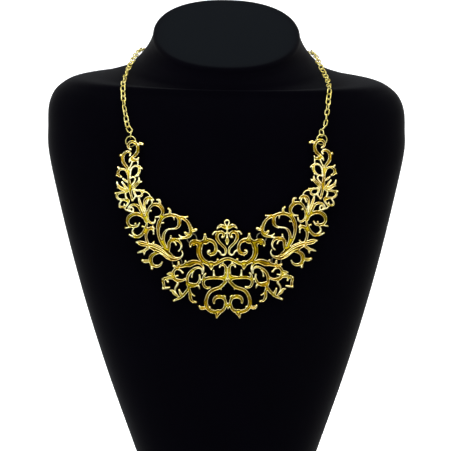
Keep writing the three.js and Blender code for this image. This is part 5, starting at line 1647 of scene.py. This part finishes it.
@dataclass
class Clasp:
    """Flat oval joining plate with two eyes, on the back of the neck. Its sizes are in mm.

    Args:
        eye: radius of its eyes.
        rim: metal between an eye and the nearer end.
        lift: height of its middle over the skin.
        height: the z at which it lies.
        behind: a y well behind the neck, from which its place is found.
        reach: distance from its middle to the middle of an eye.
        axes: rows of unit vectors to +X, up, and out of the neck.
    """

    surface: BustSurface
    length: float = 13
    width: float = 6.4
    thickness: float = 1.0
    eye: float = 1.1
    rim: float = 1.3
    lift: float = 2.25
    height: float = 288
    behind: float = 60
    round_over: float = 0.22
    reach: float = field(init=False)
    center: np.ndarray = field(init=False)
    axes: np.ndarray = field(init=False)

    def __post_init__(self) -> None:
        """Finds the clasp's place on the neck."""
        skin, normal = self.surface.skin_below(np.array([0, self.behind, self.height]))
        across = np.array([1, 0, 0])
        self.reach = self.length / 2 - self.rim - self.eye
        self.center = skin + normal * self.lift
        self.axes = np.stack([across, unit(np.cross(normal, across)), normal])

    def eye_at(self, side: int) -> np.ndarray:
        """The middle of the eye on a side, which is -1 or 1."""
        return self.center + self.axes[0] * side * self.reach

    def build(self, material: bpy.types.Material, end_steps: int = 16, eye_steps: int = 24) -> None:
        """Builds the plate from a filled curve with rounded edges.

        Args:
            material: its finish.
            end_steps: facets around each round end.
            eye_steps: facets around each eye.
        """
        curve = bpy.data.curves.new("clasp_outline", "CURVE")
        for name, value in {"dimensions": "2D", "fill_mode": "BOTH", "bevel_resolution": 2,
                            "extrude": self.thickness / 2 - self.round_over,
                            "bevel_depth": self.round_over, "offset": -self.round_over}.items():
            setattr(curve, name, value)
        bow = self.width / 2
        bend = np.linspace(-np.pi / 2, np.pi / 2, end_steps + 1)
        right = np.stack([self.length / 2 - bow + bow * np.cos(bend), bow * np.sin(bend)], axis=1)
        turn = np.linspace(0, 2 * np.pi, eye_steps + 1)[:-1, None]
        circle = np.hstack([np.cos(turn), -np.sin(turn)]) * self.eye
        for loop in (np.vstack([right, -right]), circle + (self.reach, 0), circle - (self.reach, 0)):
            spline = curve.splines.new("POLY")
            spline.points.add(len(loop) - 1)
            spline.points.foreach_set("co", np.insert(loop, (2, 2), (0, 1), axis=1).ravel())
            spline.use_cyclic_u = True
        shape = add_object("clasp_outline", curve)
        mesh = bpy.data.meshes.new_from_object(shape.evaluated_get(bpy.context.evaluated_depsgraph_get()))
        bpy.data.objects.remove(shape)
        place = Matrix.Translation(Vector(self.center * MM)) @ Matrix(self.axes.T.tolist()).to_4x4()
        mesh.transform(place @ Matrix.Scale(MM, 4))
        mesh.materials.clear()
        piece = add_object("clasp_plate", mesh)
        crease(piece)
        dress(piece, "clasp", material)


def link_shape(group: GroupBuilder, bends: int = 28, sides: int = 10) -> bpy.types.NodeSocket:
    """One oval link along X: a circle whose two halves are drawn apart, as a round wire.

    Args:
        group: the chain's tree.
        bends: steps around the link.
        sides: facets around its wire.

    Returns:
        The link's mesh.
    """
    sizes = group.source
    bend = group.math("MULTIPLY", group.math("SUBTRACT", sizes["Width"], sizes["Wire"]), 0.5)
    circle = group.add("GeometryNodeCurvePrimitiveCircle", {"Resolution": bends, "Radius": bend})
    place = group.add("ShaderNodeSeparateXYZ", {0: group.add("GeometryNodeInputPosition").outputs[0]})
    stretch = group.math("MULTIPLY", group.math("SUBTRACT", sizes["Length"], sizes["Width"]), 0.5)
    apart = group.math("MULTIPLY", group.math("SIGN", place.outputs["X"]), stretch)
    shift = group.add("ShaderNodeCombineXYZ", {"X": apart})
    oval = group.add("GeometryNodeSetPosition",
                     {"Geometry": circle.outputs["Curve"], "Offset": shift.outputs[0]})
    thick = group.math("MULTIPLY", sizes["Wire"], 0.5)
    wire = group.add("GeometryNodeCurvePrimitiveCircle", {"Resolution": sides, "Radius": thick})
    return group.add("GeometryNodeCurveToMesh",
                     {"Curve": oval.outputs[0], "Profile Curve": wire.outputs["Curve"]}).outputs["Mesh"]


def link_turn(group: GroupBuilder) -> bpy.types.NodeSocket:
    """How each link is turned: to its point's vectors, and then about its length, to and fro in turn.

    Args:
        group: the chain's tree.

    Returns:
        The rotation.
    """
    along, facing, twist = (
        group.add("GeometryNodeInputNamedAttribute", {"Name": name}, data_type=kind).outputs["Attribute"]
        for name, kind in (("along", "FLOAT_VECTOR"), ("facing", "FLOAT_VECTOR"), ("twist", "FLOAT")))
    axes = group.add("FunctionNodeAxesToRotation", {"Primary Axis": along, "Secondary Axis": facing},
                     primary_axis="X", secondary_axis="Z")
    odd = group.math("MODULO", group.add("GeometryNodeInputIndex").outputs[0], 2.0)
    sign = group.math("SUBTRACT", 1.0, group.math("MULTIPLY", odd, 2.0))
    roll = group.math("ADD", twist, group.math("MULTIPLY", sign, group.source["Tilt"]))
    turn = group.add("FunctionNodeAxisAngleToRotation", {"Axis": (1, 0, 0), "Angle": roll})
    both = group.add("FunctionNodeRotateRotation",
                     {"Rotation": axes.outputs[0], "Rotate By": turn.outputs[0]}, rotation_space="LOCAL")
    return both.outputs[0]


def chain_tree() -> bpy.types.GeometryNodeTree:
    """A chain of oval links, one at each point, turned to the point's along and facing vectors.

    Returns:
        A tree that takes points, Length, Width, Wire and Tilt in metres and radians, and a Material.
    """
    sizes = dict.fromkeys(("Length", "Width", "Wire", "Tilt"), Socket.VALUE)
    group = GroupBuilder("chain_links", "GeometryNodeTree",
                         {"Points": Socket.GEOMETRY, **sizes, "Material": Socket.MATERIAL},
                         {"Chain": Socket.GEOMETRY})
    points = group.add("GeometryNodeMeshToPoints", {"Mesh": group.source["Points"]})
    links = group.add("GeometryNodeInstanceOnPoints", {
        "Points": points.outputs["Points"], "Instance": link_shape(group), "Rotation": link_turn(group)})
    real = group.add("GeometryNodeRealizeInstances", {"Geometry": links.outputs["Instances"]})
    smooth = group.add("GeometryNodeSetShadeSmooth", {"Geometry": real.outputs[0]})
    finish = group.add("GeometryNodeSetMaterial",
                       {"Geometry": smooth.outputs[0], "Material": group.source["Material"]})
    group.feed(finish.outputs[0], group.result["Chain"])
    return group.tree


@dataclass
class Chain:
    """A cable chain from an end ring, over the shoulder, to the clasp. Its sizes are in mm.

    Args:
        side: -1 for the left and 1 for the right.
        route: points over the bust, from the end ring to the clasp.
        twists: how far its links are turned, in degrees, as pairs of link number and angle.
        pitch: distance between two links.
        tilt_deg: how far links are turned to and fro.
        lift: height of the links' middles over the skin.
        settle: distance over which it comes down from the end ring to the skin.
        side_y: the y behind which links face straight out of the skin.
        front_over: distance over which they turn to face the front.
    """

    node: str
    side: int
    route: tuple[Triple, ...]
    twists: tuple[Pair, ...]
    length: float = 5.35
    width: float = 3.7
    wire: float = 0.8
    pitch: float = 3.74
    tilt_deg: float = 30
    lift: float = 2.25
    settle: float = 12
    play: float = 0.3
    side_y: float = 25
    front_over: float = 30

    def stations(self, surface: BustSurface, ring: EndRing, clasp: Clasp) -> dict[str, np.ndarray]:
        """The place, direction and turn of every link.

        Args:
            surface: the bust.
            ring: the end ring that it hangs on.
            clasp: the clasp that it goes to.

        Returns:
            Places in mm, unit vectors along the chain and towards a link's open side, and twists.
        """
        start = ring.center + ring.axes[1] * ring.radius
        knots = np.vstack([start, start + ring.axes[1] * self.length / 2, self.route,
                           clasp.eye_at(self.side)])
        line = smooth_line(knots, 100)
        distance = distances_along(line)
        reach, probe = (self.length - self.wire) / 2, 0.05
        first = reach - (self.wire + ring.wire) / 2 - self.play
        last = distance[-1] - reach
        pairs = round((last - first) / self.pitch / 2)
        start_lift = np.linalg.norm(start - surface.skin_below(start)[0])

        def at(where: float) -> np.ndarray:
            """The line's point at a distance along it."""
            return np.array([np.interp(where, distance, line[:, axis]) for axis in range(3)])

        rows: dict[str, list] = {"place": [], "along": [], "facing": [], "twist": []}
        for index, where in enumerate(np.linspace(first, last, 2 * pairs + 1)):
            skin, normal = surface.skin_below(at(where))
            high = max(0, 1 - where / self.settle)
            along = at(where + probe) - at(where - probe)
            along = unit(along - normal * (along @ normal))
            front = min(max((self.side_y - skin[1]) / self.front_over, 0), 1)
            facing = normal * (1 - front) + np.array([0, -1, 0]) * front
            rows["place"].append(skin + normal * (self.lift + (start_lift - self.lift) * high))
            rows["along"].append(along)
            rows["facing"].append(unit(facing - along * (along @ facing)))
            rows["twist"].append(math.radians(np.interp(index, *zip(*self.twists))))
        return {name: np.array(values) for name, values in rows.items()}

    def build(self, tree: bpy.types.GeometryNodeTree, material: bpy.types.Material,
              stations: dict[str, np.ndarray]) -> None:
        """Builds the chain with the link tree and makes the result a plain mesh.

        Args:
            tree: the tree that puts a link at each point.
            material: its finish.
            stations: what stations() gave.
        """
        source = add_mesh(f"{self.node}_points", stations["place"] * MM, [])
        for name in ("along", "facing", "twist"):
            store(source, name, stations[name])
        modifier = source.modifiers.new("links", "NODES")
        modifier.node_group = tree
        sockets = {item.name: item.identifier for item in tree.interface.items_tree if item.in_out == "INPUT"}
        values = {"Length": self.length * MM, "Width": self.width * MM, "Wire": self.wire * MM,
                  "Tilt": math.radians(self.tilt_deg), "Material": material}
        for name, value in values.items():
            modifier[sockets[name]] = value
        mesh = bpy.data.meshes.new_from_object(source.evaluated_get(bpy.context.evaluated_depsgraph_get()))
        bpy.data.objects.remove(source)
        mesh.name = f"{self.node}_links"
        dress(add_object(mesh.name, mesh), self.node)


CHAINS: tuple[Chain, ...] = (
    Chain("left_chain", -1,
          ((-64, -43, 240), (-66, -40, 249), (-67.5, -35, 259), (-67.7, -28, 267), (-67, -16, 273.5),
           (-65, -2.5, 279), (-61.9, 8, 285), (-58.7, 19, 289), (-54.5, 29, 288.5), (-48.5, 36.5, 286.5),
           (-36, 42.5, 286.5), (-20, 46.5, 288.5)),
          ((0, 60), (2, 10), (3.5, 0), (5, 80), (6.5, 95), (8, 10), (11, 0), (12.5, 70), (15, 90), (17, 10),
           (60, 0))),
    Chain("right_chain", 1,
          ((64, -43, 240.5), (65.5, -39.5, 248.6), (66.9, -33.2, 259.5), (67.6, -30, 264.2),
           (67.3, -26, 266.7), (66.8, -17, 270), (65.2, -7.7, 274.3), (61.7, 4.1, 281.7), (58.8, 19, 287.2),
           (54.5, 29, 286.8), (48.5, 36.5, 285.5), (36, 42.5, 286), (20, 46.5, 288.5)),
          ((0, -60), (2, -80), (4, -60), (6, -10), (8, 0), (11, -60), (13, -20), (16, 0), (60, 0))),
)


# ---------------------------- the studio


@dataclass(frozen=True)
class SoftLight:
    """A soft rectangular light. Places and sizes are in metres, and its power in watts."""

    name: str
    place: Triple
    aim: Triple
    size: Pair
    power: float
    color: Triple = (1.0, 1.0, 1.0)

    def build(self) -> None:
        """Puts the light up."""
        data = bpy.data.lights.new(self.name, "AREA")
        data.shape = "RECTANGLE"
        data.size, data.size_y = self.size
        data.energy = self.power
        data.color = self.color
        light = add_object(self.name, data)
        light.location = self.place
        light.rotation_euler = (Vector(self.aim) - Vector(self.place)).to_track_quat("-Z", "Y").to_euler()


AIM = (0.0, -0.05, 0.1765)  # m, the middle of the view

LIGHTS: tuple[SoftLight, ...] = (
    SoftLight("top_light", (0.0, -0.25, 1.3), (0.0, -0.02, 0.25), (1.0, 0.8), 19.0),
    SoftLight("left_light", (-1.1, -0.9, 0.7), AIM, (0.5, 0.7), 8.8, (0.8, 1.0, 1.22)),
    SoftLight("right_light", (1.1, -0.9, 0.6), AIM, (0.5, 0.7), 3.8),
    SoftLight("front_light", (0.0, -1.7, 0.7), AIM, (0.6, 0.4), 9.8),
)


@dataclass
class Studio:
    """White sweep, soft lights and the camera. Its sizes are in metres, and the lens and sensor in mm.

    Args:
        distance: from the camera to the middle of the view.
        front: where the floor starts.
        back: where it starts to curve up.
        bend: radius of the curve.
        paper: how white the sweep is.
        glow: how brightly it glows.
    """

    distance: float = 1.4
    elevation_deg: float = 5.0
    lens: float = 171.17
    sensor: float = 36.0
    half_width: float = 4.0
    front: float = -3.0
    back: float = 1.2
    bend: float = 0.8
    top: float = 3.0
    paper: float = 0.95
    glow: float = 0.55
    surroundings: float = 0.26

    def build(self) -> None:
        """Sets up everything around the necklace."""
        self.camera()
        self.sweep()
        world = bpy.data.worlds.new("studio")
        world.use_nodes = True
        background = world.node_tree.nodes["Background"].inputs
        background["Color"].default_value = (1, 1, 1, 1)
        background["Strength"].default_value = self.surroundings
        scene = bpy.context.scene
        scene.world = world
        scene.view_settings.view_transform = "Standard"
        scene.view_settings.look = "None"
        for light in LIGHTS:
            light.build()

    def camera(self) -> None:
        """Places the camera and makes it the scene's."""
        data = bpy.data.cameras.new("camera")
        data.lens = self.lens
        data.sensor_width = self.sensor
        lift = math.radians(self.elevation_deg)
        back = Vector((0, -math.cos(lift), math.sin(lift))) * self.distance
        camera = add_object("camera", data)
        camera.location = Vector(AIM) + back
        camera.rotation_euler = (-back).to_track_quat("-Z", "Y").to_euler()
        bpy.context.scene.camera = camera

    def sweep(self) -> None:
        """Builds the floor, which curves up behind the bust."""
        bends = np.radians(np.linspace(7.5, 90, 12))
        profile = [(self.front, 0.0), (self.back, 0.0),
                   *((self.back + self.bend * math.sin(bend), self.bend - self.bend * math.cos(bend))
                     for bend in bends), (self.back + self.bend, self.top)]
        points = np.array([(x, y, z) for x in (-self.half_width, self.half_width) for y, z in profile])
        count = len(profile)
        sweep = add_mesh("sweep", points, [[i, i + count, i + count + 1, i + 1] for i in range(count - 1)])
        paper = bpy.data.materials.new("sweep_paper")
        paper.use_nodes = True
        skin = paper.node_tree.nodes["Principled BSDF"].inputs
        for name, value in {"Base Color": (self.paper, self.paper, self.paper, 1), "Roughness": 0.9,
                            "Emission Color": (1, 1, 1, 1), "Emission Strength": self.glow}.items():
            skin[name].default_value = value
        sweep.data.materials.append(paper)
        sweep.visible_glossy = False


# ---------------------------- everything


@dataclass
class Necklace:
    """The bust and all the pieces that hang on it.

    Args:
        wing_pitch: distance between the points of a wing's sheet in mm.
        center_pitch: distance between the points of the center plate's sheet in mm.
    """

    surface: BustSurface = field(default_factory=BustSurface)
    shop: FinishShop = field(default_factory=FinishShop)
    wing_pitch: float = 0.19
    center_pitch: float = 0.202

    def build(self) -> None:
        """Builds every piece and dresses it."""
        cast, wire, jump = (finish.material(self.shop) for finish in (CAST_GOLD, WIRE_GOLD, SHADED_GREY_RING))
        NeckBust(self.surface).build(BLACK_VELVET.material(self.shop))
        clasp = Clasp(self.surface)
        clasp.build(wire)
        tree = chain_tree()
        center_staples = []
        for side, chain in zip(("left", "right"), CHAINS):
            place = PLACES[side]
            rings = [LinkRing(f"{side}_{name}", chain.side,
                              PLACES["center"].put([(chain.side * center[0], center[1])])[0],
                              place.put([wing])[0])
                     for name, (center, wing) in LINK_RINGS.items()]
            for ring in rings:
                # the link rings' finish holds painted shade
                ring.build(self.surface, jump)
            center_staples += [ring.staple(ring.center_wire) for ring in rings]
            end_ring = EndRing(f"{side}_end_ring", place, self.surface)
            staples = [*(ring.staple(ring.wing_wire) for ring in rings), end_ring.staple()]
            drawings = ((WING_STROKES + WING_VEINS, WING_KNOBS, place),)
            wing = Casting(f"{side}_wing", f"{side}_plate", drawings, staples, self.wing_pitch)
            wing.build(self.surface, cast)
            end_ring.build(wire)
            chain.build(tree, wire, chain.stations(self.surface, end_ring, clasp))
        center, mirrored = PLACES["center"], PLACES["center_mirrored"]
        drawings = ((CENTER_AXIS_STROKES + CENTER_VEINS, (), center), (CENTER_VEINS, (), mirrored),
                    *((CENTER_SIDE_STROKES, CENTER_SIDE_KNOBS, place) for place in (center, mirrored)))
        bib = Casting("bib", "center_plate", drawings, center_staples, self.center_pitch)
        bib.build(self.surface, cast)


def main() -> None:
    """Builds the necklace on its bust and the studio around it."""
    logging.basicConfig(level=logging.INFO, format="%(name)s: %(message)s")
    Necklace().build()
    Studio().build()


if __name__ == "__main__":
    main()
